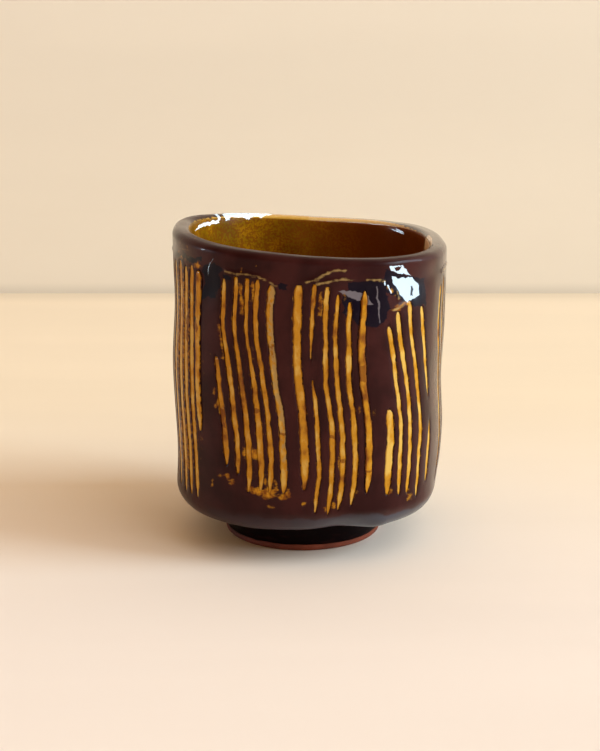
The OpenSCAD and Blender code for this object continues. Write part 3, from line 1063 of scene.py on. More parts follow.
def close_surface(mesh):
    """Merges poles and seams and turns the faces outwards."""
    bmesh.ops.remove_doubles(mesh, verts=mesh.verts, dist=0.001 * MM)
    bmesh.ops.recalc_face_normals(mesh, faces=mesh.faces)


def face_away(mesh, middle):
    """Turns an open sheet so that its faces look away from a point."""
    bmesh.ops.recalc_face_normals(mesh, faces=mesh.faces)
    if sum(face.normal.dot(face.calc_center_median() - middle) for face in mesh.faces) < 0:
        bmesh.ops.reverse_faces(mesh, faces=mesh.faces)


def add_piece(mesh, name, nodes, material, wall=0.0):
    """Makes a bmesh a piece that stands for CAD nodes, with a wall thickness inwards if one is given."""
    for face in mesh.faces:
        face.smooth = True
    data = bpy.data.meshes.new(name)
    mesh.to_mesh(data)
    mesh.free()
    data.materials.append(material)
    piece = bpy.data.objects.new(name, data)
    bpy.context.scene.collection.objects.link(piece)
    if wall:
        thickness = piece.modifiers.new("Wall", "SOLIDIFY")
        thickness.thickness = wall
        thickness.offset = -1
        thickness.use_even_offset = False
    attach(piece, "root")
    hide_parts(*nodes)
    return piece


def carved_slip_mesh():
    """The slip over underside, side and lip, with a slot for every line."""
    rows, columns = outside_rows(), slip_columns(carve_lines())
    mesh = drum(len(rows), len(columns))
    slots = []
    for face in mesh.faces:
        centre = face.calc_center_median()
        column, row = columns[int(drum_column(centre, len(columns)))], int(centre.z)
        if isinstance(column, EdgeColumn) and column.side < 0 and not column.past:
            if column.line.is_open(rows[row].z) and column.line.is_open(rows[row + 1].z):
                slots.append(face)
    bmesh.ops.delete(mesh, geom=slots, context="FACES")
    layers = {name: mesh.verts.layers.float.new(name) for name in SLIP_MARKS}
    for vert in mesh.verts:
        column = columns[round(drum_column(vert.co, len(columns))) % len(columns)]
        row = rows[round(vert.co.z)]
        bearing = column.bearing(row.z)
        ridge = ridge_share(bearing, row.z)
        vert[layers["edge"]] = column.nearness(row.z)
        vert[layers["ridge"]] = ridge
        scratch = min(path_distance(bearing, row.z, path) for path in SCRATCHES)
        vert[layers["smear"]] = max(patch_share(bearing, row.z, SMEARS), 0.75 * bell(scratch, 0.5 * MM))
        vert[layers["gloss"]] = gloss_share(bearing, row)
        vert[layers["lining"]] = lining_share(bearing, row)
        vert[layers["across"]] = lip_across(row) if row.z > lip_height() else OFF_LIP
        lift = column.lift(row.z) + swell(bearing, row.z) + carving().ridge_height * ridge - COAT_INSET
        vert.co = row.point(bearing, lift)
    face_away(mesh, CUP_MIDDLE)
    return mesh


def crust_and_highlight_share(line, share, z):
    """How thickly the pale crust and painted highlight lie in a line, most on its right."""
    if (line.group, line.number) != CRUST_AND_HIGHLIGHT_LINE:
        return 0.0
    height = smooth([0, 0.35, 0.9, 1, 0.8, 1], line.share(z))
    return height * (0.35 + 0.65 * share)


def open_runs(line, rows):
    """The runs of rows over which a line is open."""
    runs, run = [], []
    for row in rows:
        if line.is_open(row.z):
            run.append(row)
        elif run:
            runs.append(run)
            run = []
    return [run for run in runs if len(run) > 1]


def add_line_glaze(mesh, line, run, layers):
    """A strip of glaze along one open run of a line, dished between its edges."""
    across = 4
    made = bmesh.ops.create_grid(mesh, x_segments=across, y_segments=len(run) - 1, size=1)
    for vert in made["verts"]:
        share, row = (vert.co.x + 1) / 2, run[round((vert.co.y + 1) / 2 * (len(run) - 1))]
        left, right = line.edge(row.z, -1, -0.02 * MM), line.edge(row.z, 1, -0.02 * MM)
        bearing = mix(left, right, share)
        ripple = noise.noise(Vector((line.home, share * 1.5, row.z / (2.5 * MM))))
        dish = line.depth * (1 + 0.2 * ripple - 0.25 * abs(2 * share - 1))
        vert[layers["tone"]] = line.tone + 0.22 * noise.noise(Vector((line.home * 1.7, 0, row.z / (7 * MM))))
        vert[layers["rim"]] = abs(2 * share - 1)
        vert[layers["crust_and_painted_highlight"]] = crust_and_highlight_share(line, share, row.z)
        vert.co = row.point(bearing, swell(bearing, row.z) - dish - COAT_INSET)


def line_glaze_mesh(groups):
    """The glaze in the lines of some groups."""
    mesh = bmesh.new()
    layers = {name: mesh.verts.layers.float.new(name) for name in ("tone", "rim", "crust_and_painted_highlight")}
    rows = outside_rows()
    for line in carve_lines():
        if line.group in groups:
            for run in open_runs(line, rows):
                add_line_glaze(mesh, line, run, layers)
    face_away(mesh, CUP_MIDDLE)
    return mesh


def lining_rows():
    """The rows of the inner glaze, from the lip down the wall to the middle of the floor."""
    cup = shape()
    top, corner = lip_height(), cup.floor_height + cup.inside_radius
    lip = lip_rows(range(LINING_START, 180, 10))
    wall = [Row(inside_half(z), z, -1, 0) for z in reversed(steps(corner, top, 0.8 * MM))]
    centre = (inside_half(corner) - cup.inside_radius, corner)
    bend = arc_rows(centre, cup.inside_radius, range(-9, -90, -9))
    for row in bend:
        row.out, row.up = -row.out, -row.up
    floor = [Row(centre[0] * (1 - i / 12), cup.floor_height, 0, 1) for i in range(13)]
    return lip + wall + bend + floor


def inner_glaze_mesh():
    """The glaze inside the cup, uneven where it ran."""
    rows, columns = lining_rows(), 144
    mesh = drum(len(rows), columns)
    across = mesh.verts.layers.float.new("across")
    for vert in mesh.verts:
        bearing = drum_bearing(vert.co, columns)
        row = rows[round(vert.co.z)]
        below_lip = min(1, (lip_height() + 2 * MM - row.z) / (6 * MM))
        runs = below_lip * noise.noise(around(bearing, 2.5, row.z / (14 * MM)))
        vert[across] = lip_across(row)
        vert.co = row.point(bearing, 0.2 * MM * runs + swell(bearing, row.z) - COAT_INSET)
    close_surface(mesh)
    face_away(mesh, CUP_MIDDLE)
    bmesh.ops.reverse_faces(mesh, faces=mesh.faces)
    return mesh


def body_rows():
    """The rows of the clay body, each with its depth under the coats."""
    cup = shape()
    land = FOOT_HIGH.z + 0.02 * MM
    recess_radius = FOOT_HIGH.x + cup.foot_shift
    recess = [Row(recess_radius * i / 30, land, 0, -1, 1.0) for i in range(31)]
    shoulder = arc_rows(shoulder_centre(), cup.shoulder_radius, range(-90, 0, 15))
    side = [Row(wall_half(z), z, 1, 0) for z in steps(shoulder_centre()[1], lip_height(), 3 * MM)]
    outside = underside_rows(3)[1:] + shoulder + side + lip_rows(range(0, 180, 20))
    inside = [row for row in lining_rows() if row.z < lip_height()]
    rows = [(row, 0.0) for row in recess]
    rows += [(row, CLAY_DEPTH) for row in outside]
    return rows + [(row, LINED_CLAY_DEPTH) for row in inside]


def clay_body_mesh():
    """The pressed clay, with the tool's spiral in the foot recess."""
    rows, columns = body_rows(), 96
    mesh = drum(len(rows), columns)
    for vert in mesh.verts:
        bearing = drum_bearing(vert.co, columns)
        row, depth = rows[round(vert.co.z)]
        spiral = 0.0
        if not depth:
            spiral = 0.08 * MM * math.sin(2 * math.pi * (row.half / (1.6 * MM) + bearing / 360))
        vert.co = row.point(bearing, spiral - depth)
    close_surface(mesh)
    return mesh


def dip_edge(bearing):
    """Height where the slip on the foot ends, an uneven line left by the dip."""
    wave = 0.25 * noise.noise(around(bearing, 2.1)) + 0.15 * noise.noise(around(bearing, 7.7))
    return FOOT_SLIP_LOW.z + (wave + 0.25) * MM


def foot_flare(radius, z):
    """How far the outer side of the foot flares out towards its top."""
    is_outer = radius > FOOT_BORE + 2 * MM
    return FOOT_FLARE * (z / FOOT_HIGH.z) ** 2 if is_outer else 0.0


def foot_rows():
    """The foot ring's profile from its top inside to its top outside: radius, height, share of the dip."""
    outer, inner = FOOT_HIGH.x + shape().foot_shift, FOOT_BORE
    edge, top = FOOT_EDGE, FOOT_HIGH.z
    quarter = [math.radians(30 * i) for i in range(4)]
    rows = [(inner, mix(top, edge, i / 5), 0) for i in range(5)]
    rows += [(inner + edge - edge * math.cos(a), edge - edge * math.sin(a), 0) for a in quarter]
    rows += [(mix(inner + edge, outer - edge, i / 5), 0, 0) for i in range(1, 5)]
    rows += [(outer - edge + edge * math.sin(a), edge - edge * math.cos(a), 0) for a in quarter]
    return rows + [(outer, 0, 1), (outer - FOOT_STEP, 0, 1), (outer - FOOT_STEP, top, 0)]


def foot_ring_mesh():
    """The turned foot ring, a little uneven, stepped in where the slip lies on it."""
    rows, columns = foot_rows(), 128
    mesh = drum(len(rows), columns)
    for vert in mesh.verts:
        bearing = drum_bearing(vert.co, columns)
        radius, z, dip = rows[round(vert.co.z)]
        uneven = noise.noise(around(bearing, 1.6, z / (2 * MM)))
        height = z + dip * dip_edge(bearing)
        vert.co = foot_point(bearing, radius + 0.05 * MM * (uneven - 1) + foot_flare(radius, height), height)
    bmesh.ops.bridge_loops(mesh, edges=[edge for edge in mesh.edges if edge.is_boundary])
    close_surface(mesh)
    return mesh


def foot_slip_mesh():
    """The dipped slip on the side of the foot, thin along its uneven lower edge."""
    outer, high = FOOT_SLIP_HIGH.x + shape().foot_shift - 0.02 * MM, FOOT_SLIP_HIGH.z - 0.05 * MM
    shares = [0.0, 0.06, 0.15, 0.4, 0.7, 1.0]
    thinning = [0.12 * MM, 0.03 * MM, 0, 0, 0, 0]
    columns = 160
    mesh = drum(len(shares), columns)
    for vert in mesh.verts:
        bearing = drum_bearing(vert.co, columns)
        row = round(vert.co.z)
        z = mix(dip_edge(bearing) + 0.02 * MM, high, shares[row])
        vert.co = foot_point(bearing, outer - thinning[row] + foot_flare(outer, z), z)
    face_away(mesh, CUP_MIDDLE)
    return mesh


# Material helpers


def new_finish(name):
    """A node material and its shader."""
    material = bpy.data.materials.new(name)
    material.use_nodes = True
    return material, material.node_tree, material.node_tree.nodes["Principled BSDF"]


def add_node(tree, kind, **sockets):
    """Adds a node and sets its sockets, each to a value or to another socket."""
    made = tree.nodes.new(kind)
    for name, value in sockets.items():
        put(tree, made.inputs[name.replace("_", " ")], value)
    return made


def put(tree, socket, value):
    """Links a socket to another one, or sets its value."""
    if isinstance(value, bpy.types.NodeSocket):
        tree.links.new(value, socket)
    else:
        socket.default_value = value


def speckle(tree, size, detail=2.0, stretch=(1, 1, 1)):
    """Noise with features of about that size, in metres."""
    coordinates = add_node(tree, "ShaderNodeTexCoord").outputs["Object"]
    place = add_node(tree, "ShaderNodeMapping", Vector=coordinates, Scale=stretch).outputs["Vector"]
    return add_node(tree, "ShaderNodeTexNoise", Vector=place, Scale=1 / size, Detail=detail).outputs["Fac"]


def between(tree, value, low, high, start=0.0, end=1.0):
    """Rises smoothly from start to end as the value goes from low to high."""
    made = add_node(tree, "ShaderNodeMapRange", Value=value)
    made.interpolation_type = "SMOOTHSTEP"
    for name, limit in {"From Min": low, "From Max": high, "To Min": start, "To Max": end}.items():
        made.inputs[name].default_value = limit
    return made.outputs["Result"]


def sums(tree, first, second, operation="ADD"):
    """The sum of two numbers, or what another operation makes of them."""
    made = tree.nodes.new("ShaderNodeMath")
    made.operation = operation
    put(tree, made.inputs[0], first)
    put(tree, made.inputs[1], second)
    return made.outputs["Value"]


def times(tree, first, second):
    """The product of two numbers."""
    return sums(tree, first, second, "MULTIPLY")


def larger(tree, first, second):
    """The larger of two numbers."""
    return sums(tree, first, second, "MAXIMUM")


def centred(tree, size, detail, stretch=(1, 1, 1)):
    """Noise about zero."""
    return sums(tree, speckle(tree, size, detail, stretch), -0.5)


def colour(value):
    """A colour with full cover."""
    return (*value, 1.0)


def tint(tree, share, first, second):
    """One colour turning into another."""
    made = tree.nodes.new("ShaderNodeMix")
    made.data_type = "RGBA"
    for socket, value in zip((made.inputs[0], made.inputs[6], made.inputs[7]), (share, first, second)):
        put(tree, socket, value)
    return made.outputs[2]


def mark(tree, name):
    """The value of one of the mesh's own attributes."""
    made = tree.nodes.new("ShaderNodeAttribute")
    made.attribute_name = name
    return made.outputs["Fac"]


def relief(tree, height, depth, strength, under=None):
    """A bump of that depth, laid over another one if given."""
    made = add_node(tree, "ShaderNodeBump", Height=height, Distance=depth, Strength=strength)
    if under:
        tree.links.new(under, made.inputs["Normal"])
    return made.outputs["Normal"]


def lean(tree, normal, share, way):
    """A normal leaning towards a fixed way by a share."""
    made = tree.nodes.new("ShaderNodeMix")
    made.data_type = "VECTOR"
    for socket, value in zip((made.inputs[0], made.inputs[4], made.inputs[5]), (share, normal, way)):
        put(tree, socket, value)
    level = add_node(tree, "ShaderNodeVectorMath", Vector=made.outputs[1])
    level.operation = "NORMALIZE"
    return level.outputs["Vector"]


def side_map(tree):
    """Where a point is on the side: millimetres round from the front, and its height in millimetres."""
    coordinates = add_node(tree, "ShaderNodeTexCoord").outputs["Object"]
    place = add_node(tree, "ShaderNodeSeparateXYZ", Vector=coordinates).outputs
    angle = sums(tree, place["X"], times(tree, place["Y"], -1.0), "ARCTAN2")
    along = times(tree, angle, math.degrees(MM_PER_DEGREE))
    height = times(tree, place["Z"], 1 / MM)
    return add_node(tree, "ShaderNodeCombineXYZ", X=along, Y=height).outputs["Vector"]


def on_side(bearing, height):
    """The same for a bearing and a height before the rim's tilt."""
    place = body_point(bearing, wall_half(height * MM), height * MM)
    return Vector((MM_PER_DEGREE * bearing, place.z / MM, 0.0))


def lip_map(tree):
    """Where a point is on the lip: millimetres round from the back, and millimetres across."""
    coordinates = add_node(tree, "ShaderNodeTexCoord").outputs["Object"]
    place = add_node(tree, "ShaderNodeSeparateXYZ", Vector=coordinates).outputs
    angle = sums(tree, times(tree, place["X"], -1.0), place["Y"], "ARCTAN2")
    along = times(tree, angle, math.degrees(MM_PER_DEGREE))
    across = times(tree, mark(tree, "across"), shape().lip_thickness / 2 / MM)
    return add_node(tree, "ShaderNodeCombineXYZ", X=along, Y=across).outputs["Vector"]


def on_lip(past_back, across):
    """The same for a bearing past the back and a share across the lip."""
    return Vector((MM_PER_DEGREE * past_back, across * shape().lip_thickness / 2 / MM, 0.0))


def frayed_spot(tree, spot, size, reach):
    """A place shifted by noise, so that outlines drawn there get uneven edges."""
    coordinates = add_node(tree, "ShaderNodeTexCoord").outputs["Object"]
    blur = add_node(tree, "ShaderNodeTexNoise", Vector=coordinates, Scale=1 / size, Detail=3.0)
    middle = vector_sum(tree, blur.outputs["Color"], (-0.5, -0.5, -0.5), "ADD")
    return vector_sum(tree, spot, vector_sum(tree, middle, (reach, reach, 0.0), "MULTIPLY"), "ADD")


def vector_sum(tree, first, second, operation, output="Vector"):
    """What an operation makes of two vectors."""
    made = tree.nodes.new("ShaderNodeVectorMath")
    made.operation = operation
    put(tree, made.inputs[0], first)
    put(tree, made.inputs[1], second)
    return made.outputs[output]


def outline_share(tree, spot, points):
    """1 inside a clockwise outline and 0 outside."""
    depth = None
    for first, second in zip(points, points[1:] + points[:1]):
        along = (second - first).normalized()
        inward = Vector((along.y, -along.x, 0.0))
        distance = sums(tree, vector_sum(tree, spot, inward, "DOT_PRODUCT", "Value"), -first.dot(inward))
        depth = distance if depth is None else sums(tree, depth, distance, "MINIMUM")
    return between(tree, depth, -0.08, 0.12)


def outlines_share(tree, spot, outlines, to_map):
    """1 inside any of some outlines, whose corners are put on the map first."""
    share = 0.0
    for corners in outlines:
        points = [to_map(*corner) for corner in corners]
        share = larger(tree, share, outline_share(tree, spot, points))
    return share


def lip_gloss(tree):
    """Where drops along the lip mirror the window."""
    return outlines_share(tree, frayed_spot(tree, lip_map(tree), 1.6 * MM, 1.0), LIP_DROPS, on_lip)


def lip_sheen(tree):
    """Where a pale sheen is painted on the edge of the lip."""
    share = outlines_share(tree, frayed_spot(tree, lip_map(tree), 1.6 * MM, 1.2), LIP_SHEENS, on_lip)
    return times(tree, share, 0.85)


def glazed_slip(tree, base, grain):
    """The colours of the glaze over the slip: black pools, partly painted shade and dark reflection; pale
    films, partly a painted reflection; amber smears; a painted sheen on the lip; and pale ridges, partly a
    painted highlight.
    """
    tones = finishes()
    # Painted shade and a painted dark reflection, partly thick glaze: the pools are darkened to near-black
    # navy.
    pool_spot = frayed_spot(tree, side_map(tree), 2.4 * MM, 3.2)
    pool = outlines_share(tree, pool_spot, POOLS_AND_PAINTED_SHADE, on_side)
    base = tint(tree, times(tree, pool, 0.92), base, colour(tones.pool))
    # Painted reflection, and one scraped streak: the pool is tinted pale grey-blue.
    film_spot = frayed_spot(tree, side_map(tree), 1.8 * MM, 1.5)
    painted_reflection_and_scrape = outlines_share(tree, film_spot, PAINTED_REFLECTIONS_AND_SCRAPE, on_side)
    base = tint(tree, times(tree, painted_reflection_and_scrape, 0.8), base, colour(tones.painted_reflection_and_scrape))
    frayed = centred(tree, 1.3 * MM, 5, (1, 1, 1.8))
    worn = sums(tree, times(tree, mark(tree, "edge"), 0.4), times(tree, frayed, 0.8))
    smear = sums(tree, mark(tree, "smear"), times(tree, frayed, 1.1))
    smear = between(tree, larger(tree, smear, worn), 0.3, 0.75)
    thickness = between(tree, speckle(tree, 0.9 * MM, 3), 0.35, 0.65)
    smeared = tint(tree, thickness, colour(tones.burnt), colour(tones.amber))
    base = tint(tree, smear, base, smeared)
    ragged = centred(tree, 1.1 * MM, 4)
    lining = sums(tree, mark(tree, "lining"), times(tree, ragged, 0.5))
    lined = tint(tree, grain, colour(tones.amber), colour(tones.straw))
    base = tint(tree, between(tree, lining, 0.42, 0.62), base, lined)
    # Painted sheen on the inner edge of the lip.
    base = tint(tree, lip_sheen(tree), base, colour(tones.painted_sheen))
    # Painted highlight, partly a pale crust: the ridges of slip are tinted pale.
    ridge = sums(tree, mark(tree, "ridge"), times(tree, ragged, 0.9))
    return tint(tree, between(tree, ridge, 0.4, 0.9, 0, 0.8), base, colour(tones.crust_and_painted_highlight))


def mirror_slip(tree, shader, peel, around_mm):
    """The gloss over the slip, and the ways it faces in drops and on the right flank."""
    spot = frayed_spot(tree, side_map(tree), 1.8 * MM, 1.5)
    gaps = outlines_share(tree, spot, WINDOW_GAPS, on_side)
    window = outlines_share(tree, spot, WINDOW_DROPS, on_side)
    window = times(tree, window, sums(tree, 1.0, gaps, "SUBTRACT"))
    doorway = outlines_share(tree, side_map(tree), DOORWAY_DROPS, on_side)
    lip = lip_gloss(tree)
    gloss = mark(tree, "gloss")
    drops = larger(tree, larger(tree, window, lip), doorway)
    tree.links.new(larger(tree, drops, gloss), shader.inputs["Coat Weight"])
    flank = between(tree, around_mm, 49 * MM_PER_DEGREE, 57 * MM_PER_DEGREE, 0.0, 0.9)
    facing = lean(tree, peel, times(tree, flank, gloss), TO_RIGHT)
    facing = lean(tree, facing, times(tree, window, 0.7), TO_WINDOW)
    facing = lean(tree, facing, times(tree, lip, 0.92), TO_WINDOW)
    facing = lean(tree, facing, times(tree, doorway, 0.8), TO_DOORWAY)
    tree.links.new(facing, shader.inputs["Coat Normal"])
    shader.inputs["Coat Roughness"].default_value = 0.05
    shader.inputs["Coat IOR"].default_value = 1.75


def slip_finish():
    """Dark slip under a thin glaze: satin maroon clouds, marks in the glaze, painted shade on the lip's top
    and beside the lines, and a painted blue-grey reflection low down.
    """
    tones = finishes()
    material, tree, shader = new_finish("dark slip")
    clouds = between(tree, speckle(tree, 9 * MM, 3), 0.35, 0.65)
    grain = speckle(tree, 0.6 * MM, 3)
    base = tint(tree, clouds, colour(tones.slip_dark_and_painted_shade), colour(tones.slip))
    # Painted shade: the slip on top of the lip is darkened, so that its top reads no lighter than its side.
    painted_lip_top_shade = between(tree, mark(tree, "across"), -1.2, 0.1, 0, 0.75)
    # Painted shade beside the lines, partly pooled glaze: the slip is darkened along open line edges. The
    # grain speckle darkens it at random.
    for shade in (between(tree, grain, 0.55, 0.8, 0, 0.5), times(tree, mark(tree, "edge"), 0.75), painted_lip_top_shade):
        base = tint(tree, shade, base, colour(tones.slip_dark_and_painted_shade))
    base = glazed_slip(tree, base, grain)
    spot = frayed_spot(tree, side_map(tree), 7 * MM, 5.0)
    place = add_node(tree, "ShaderNodeSeparateXYZ", Vector=spot).outputs
    # Painted reflection: the glossy glaze low on the shoulder is tinted blue-grey.
    low = times(tree, between(tree, place["Y"], 12.2, 11.4, 0.0, 1.5), mark(tree, "gloss"))
    base = tint(tree, low, base, colour(tones.low_painted_reflection))
    tree.links.new(base, shader.inputs["Base Color"])
    tree.links.new(between(tree, clouds, 0, 1, 0.3, 0.4), shader.inputs["Roughness"])
    shader.inputs["Specular IOR Level"].default_value = 0.1
    peel = relief(tree, speckle(tree, 1.6 * MM, 2), 0.06 * MM, 0.35)
    tree.links.new(relief(tree, grain, 0.02 * MM, 0.4, peel), shader.inputs["Normal"])
    mirror_slip(tree, shader, peel, place["X"])
    return material


def line_finish():
    """Amber glaze in the lines: straw where thin, burnt where thick, and darker at the edges, partly slip
    hanging over and thicker glaze, partly painted shade in the groove.
    """
    tones = finishes()
    material, tree, shader = new_finish("line glaze")
    mottle = centred(tree, 2.2 * MM, 5, (1, 1, 0.6))
    rim = mark(tree, "rim")
    tone = sums(tree, mark(tree, "tone"), times(tree, mottle, 2.1))
    # Painted shade, partly thicker glaze: the glaze turns burnt towards the edges of the groove.
    tone = sums(tree, tone, times(tree, between(tree, rim, 0.45, 1.0), 0.28))
    base = tint(tree, between(tree, tone, 0.0, 0.45), colour(tones.straw), colour(tones.amber))
    base = tint(tree, between(tree, tone, 0.45, 0.95), base, colour(tones.burnt))
    frayed = centred(tree, 1.0 * MM, 4, (1, 1, 0.7))
    # Painted highlight, partly a pale crust: one line is tinted pale along its burr.
    crust_and_painted_highlight = sums(tree, mark(tree, "crust_and_painted_highlight"), times(tree, frayed, 2.4))
    base = tint(tree, between(tree, crust_and_painted_highlight, 0.35, 0.75, 0, 0.85), base, colour(tones.crust_and_painted_highlight))
    stains = [
        [(bearing - wide, top), (bearing + wide, top), (bearing + wide, bottom), (bearing - wide, bottom)]
        for bearing, top, bottom, wide in STAINS
    ]
    stain = outlines_share(tree, frayed_spot(tree, side_map(tree), 1.2 * MM, 1.6), stains, on_side)
    base = tint(tree, times(tree, stain, 0.8), base, colour(tones.burnt))
    # Painted shade, partly slip over the edge: the edges of the glaze are tinted to the dark slip.
    overhang_and_edge_shade = between(tree, sums(tree, rim, times(tree, frayed, 1.6)), 0.92, 1.12)
    base = tint(tree, overhang_and_edge_shade, base, colour(tones.slip_dark_and_painted_shade))
    tree.links.new(base, shader.inputs["Base Color"])
    shader.inputs["Roughness"].default_value = 0.2
    shader.inputs["Specular IOR Level"].default_value = 0.16
    tree.links.new(relief(tree, speckle(tree, 0.8 * MM, 3), 0.06 * MM, 0.45), shader.inputs["Normal"])
    return material


def inner_finish():
    """Amber glaze inside: speckled olive, brown where thick, painted shade towards the right and a painted
    sheen on the lip's edge, with drops near the lip.
    """
    tones = finishes()
    material, tree, shader = new_finish("inner glaze")
    coordinates = add_node(tree, "ShaderNodeTexCoord").outputs["Object"]
    # Painted shade: the inner glaze turns brown towards the right, where the inner wall faces away from the
    # window.
    across = add_node(tree, "ShaderNodeSeparateXYZ", Vector=coordinates).outputs["X"]
    side = between(tree, across, -18 * MM, 16 * MM)
    clouds = speckle(tree, 6 * MM, 4)
    specks = between(tree, speckle(tree, 0.5 * MM, 4), 0.42, 0.58)
    base = tint(tree, between(tree, clouds, 0.35, 0.75), colour(tones.olive), colour(tones.honey))
    base = tint(tree, times(tree, specks, 0.65), base, colour(tones.inner_brown_and_shade))
    base = tint(tree, times(tree, side, 0.85), base, colour(tones.inner_brown_and_shade))
    # Painted sheen on the inner edge of the lip.
    base = tint(tree, lip_sheen(tree), base, colour(tones.painted_sheen))
    tree.links.new(base, shader.inputs["Base Color"])
    shader.inputs["Roughness"].default_value = 0.3
    shader.inputs["Specular IOR Level"].default_value = 0.05
    peel = relief(tree, speckle(tree, 0.9 * MM, 2), 0.08 * MM, 0.5)
    tree.links.new(peel, shader.inputs["Normal"])
    drops = lip_gloss(tree)
    streak = outlines_share(tree, lip_map(tree), LIP_STREAKS, on_lip)
    tree.links.new(larger(tree, drops, streak), shader.inputs["Coat Weight"])
    facing = lean(tree, peel, times(tree, drops, 0.92), TO_WINDOW)
    facing = lean(tree, facing, times(tree, streak, 0.96), TO_DOORWAY)
    tree.links.new(facing, shader.inputs["Coat Normal"])
    shader.inputs["Coat Roughness"].default_value = 0.06
    shader.inputs["Coat IOR"].default_value = 2.0
    return material


def clay_finish():
    """Bare red clay, grainy and matt."""
    tones = finishes()
    material, tree, shader = new_finish("red clay")
    grain = speckle(tree, 0.35 * MM, 4)
    clouds = between(tree, speckle(tree, 5 * MM, 3), 0.3, 0.7, 0.65, 1.1)
    shaded = add_node(tree, "ShaderNodeHueSaturation", Color=colour(tones.clay), Value=clouds)
    pits = between(tree, grain, 0.55, 0.7, 0, 0.5)
    base = tint(tree, pits, shaded.outputs["Color"], colour(tones.inner_brown_and_shade))
    tree.links.new(base, shader.inputs["Base Color"])
    shader.inputs["Roughness"].default_value = 0.82
    shader.inputs["Specular IOR Level"].default_value = 0.3
    tree.links.new(relief(tree, grain, 0.06 * MM, 0.6), shader.inputs["Normal"])
    return material


def foot_slip_finish():
    """Thin black-brown slip on the foot, satin and streaked."""
    tones = finishes()
    material, tree, shader = new_finish("foot slip")
    streaks = between(tree, speckle(tree, 3 * MM, 4, (1, 1, 3)), 0.5, 0.75, 0, 0.2)
    base = tint(tree, streaks, colour(tones.foot_slip), colour(tones.slip))
    tree.links.new(base, shader.inputs["Base Color"])
    shader.inputs["Roughness"].default_value = 0.38
    shader.inputs["Specular IOR Level"].default_value = 0.04
    tree.links.new(relief(tree, speckle(tree, 0.6 * MM, 3), 0.03 * MM, 0.4), shader.inputs["Normal"])
    return material


# The table, the wall, the light and the camera


def plain_finish(name, tone, far_tone, axis, near, far):
    """A matt, faintly streaked surface, seen from its front only, with painted shade where it meets the
    other.

    Its tone turns into the far one towards the wall.
    """
    material, tree, shader = new_finish(name)
    clouds = between(tree, speckle(tree, 40 * MM, 4, (0.15, 1, 1)), 0.3, 0.7, 0.985, 1.015)
    coordinates = add_node(tree, "ShaderNodeTexCoord").outputs["Object"]
    place = add_node(tree, "ShaderNodeSeparateXYZ", Vector=coordinates).outputs
    # Painted shade: darker along the corner where the table and the wall meet.
    value = times(tree, clouds, between(tree, place[axis], near, far, 0.86, 1.0))
    base = tint(tree, between(tree, place["Y"], -80 * MM, 120 * MM), colour(tone), colour(far_tone))
    shaded = add_node(tree, "ShaderNodeHueSaturation", Color=base, Value=value)
    tree.links.new(shaded.outputs["Color"], shader.inputs["Base Color"])
    shader.inputs["Roughness"].default_value = 0.8
    shader.inputs["Specular IOR Level"].default_value = 0.0
    facing = add_node(tree, "ShaderNodeNewGeometry").outputs["Backfacing"]
    clear = tree.nodes.new("ShaderNodeBsdfTransparent")
    shown = tree.nodes.new("ShaderNodeMixShader")
    for socket, value in zip(shown.inputs, (facing, shader.outputs["BSDF"], clear.outputs["BSDF"])):
        tree.links.new(value, socket)
    tree.links.new(shown.outputs["Shader"], tree.nodes["Material Output"].inputs["Surface"])
    return material


def add_sheet(name, size, place, facing, material):
    """A flat square of the stage, turned to face a direction."""
    mesh = bmesh.new()
    bmesh.ops.create_grid(mesh, x_segments=1, y_segments=1, size=size / 2)
    turned = facing.to_track_quat("Z", "Y").to_matrix().to_4x4()
    bmesh.ops.transform(mesh, matrix=turned, verts=mesh.verts)
    bmesh.ops.translate(mesh, vec=place, verts=mesh.verts)
    data = bpy.data.meshes.new(name)
    mesh.to_mesh(data)
    mesh.free()
    data.materials.append(material)
    sheet = bpy.data.objects.new(name, data)
    bpy.context.scene.collection.objects.link(sheet)


def add_table():
    """The table top, with painted shade for a little way before the wall."""
    corner = table().wall_distance
    finish = plain_finish("table", table().table_colour, table().table_far, "Y", corner, corner - 20 * MM)
    add_sheet("table", TABLE_SIZE, Vector((0, 0, 0)), Vector((0, 0, 1)), finish)


def add_wall():
    """The wall behind, with painted shade where it meets the table."""
    place = Vector((0, table().wall_distance, WALL_SIZE / 2))
    finish = plain_finish("wall", table().wall_colour, table().wall_colour, "Z", 0.0, 5 * MM)
    add_sheet("wall", WALL_SIZE, place, Vector((0, -1, 0)), finish)


def add_lamp(name, place, wide, tall, power, tone):
    """A soft rectangular lamp that looks at the cup."""
    data = bpy.data.lights.new(name, "AREA")
    data.shape = "RECTANGLE"
    data.size, data.size_y = wide, tall
    data.energy = power
    data.color = tone
    lamp = bpy.data.objects.new(name, data)
    lamp.location = place
    lamp.rotation_euler = (Vector(LAMPS_AIM) - Vector(place)).to_track_quat("-Z", "Y").to_euler()
    bpy.context.scene.collection.objects.link(lamp)
    return lamp


def add_light():
    """A window on the right, a doorway that only glints, a skylight that doesn't and the room's light."""
    stage = table()
    add_lamp("window", *WINDOW, stage.window_power, stage.window_colour)
    doorway = add_lamp("doorway", *DOORWAY, stage.doorway_power, stage.window_colour)
    doorway.visible_diffuse = False
    skylight = add_lamp("skylight", *SKYLIGHT, stage.skylight_power, stage.skylight_colour)
    skylight.visible_glossy = False
    add_room()
    bpy.context.scene.view_settings.view_transform = "Standard"


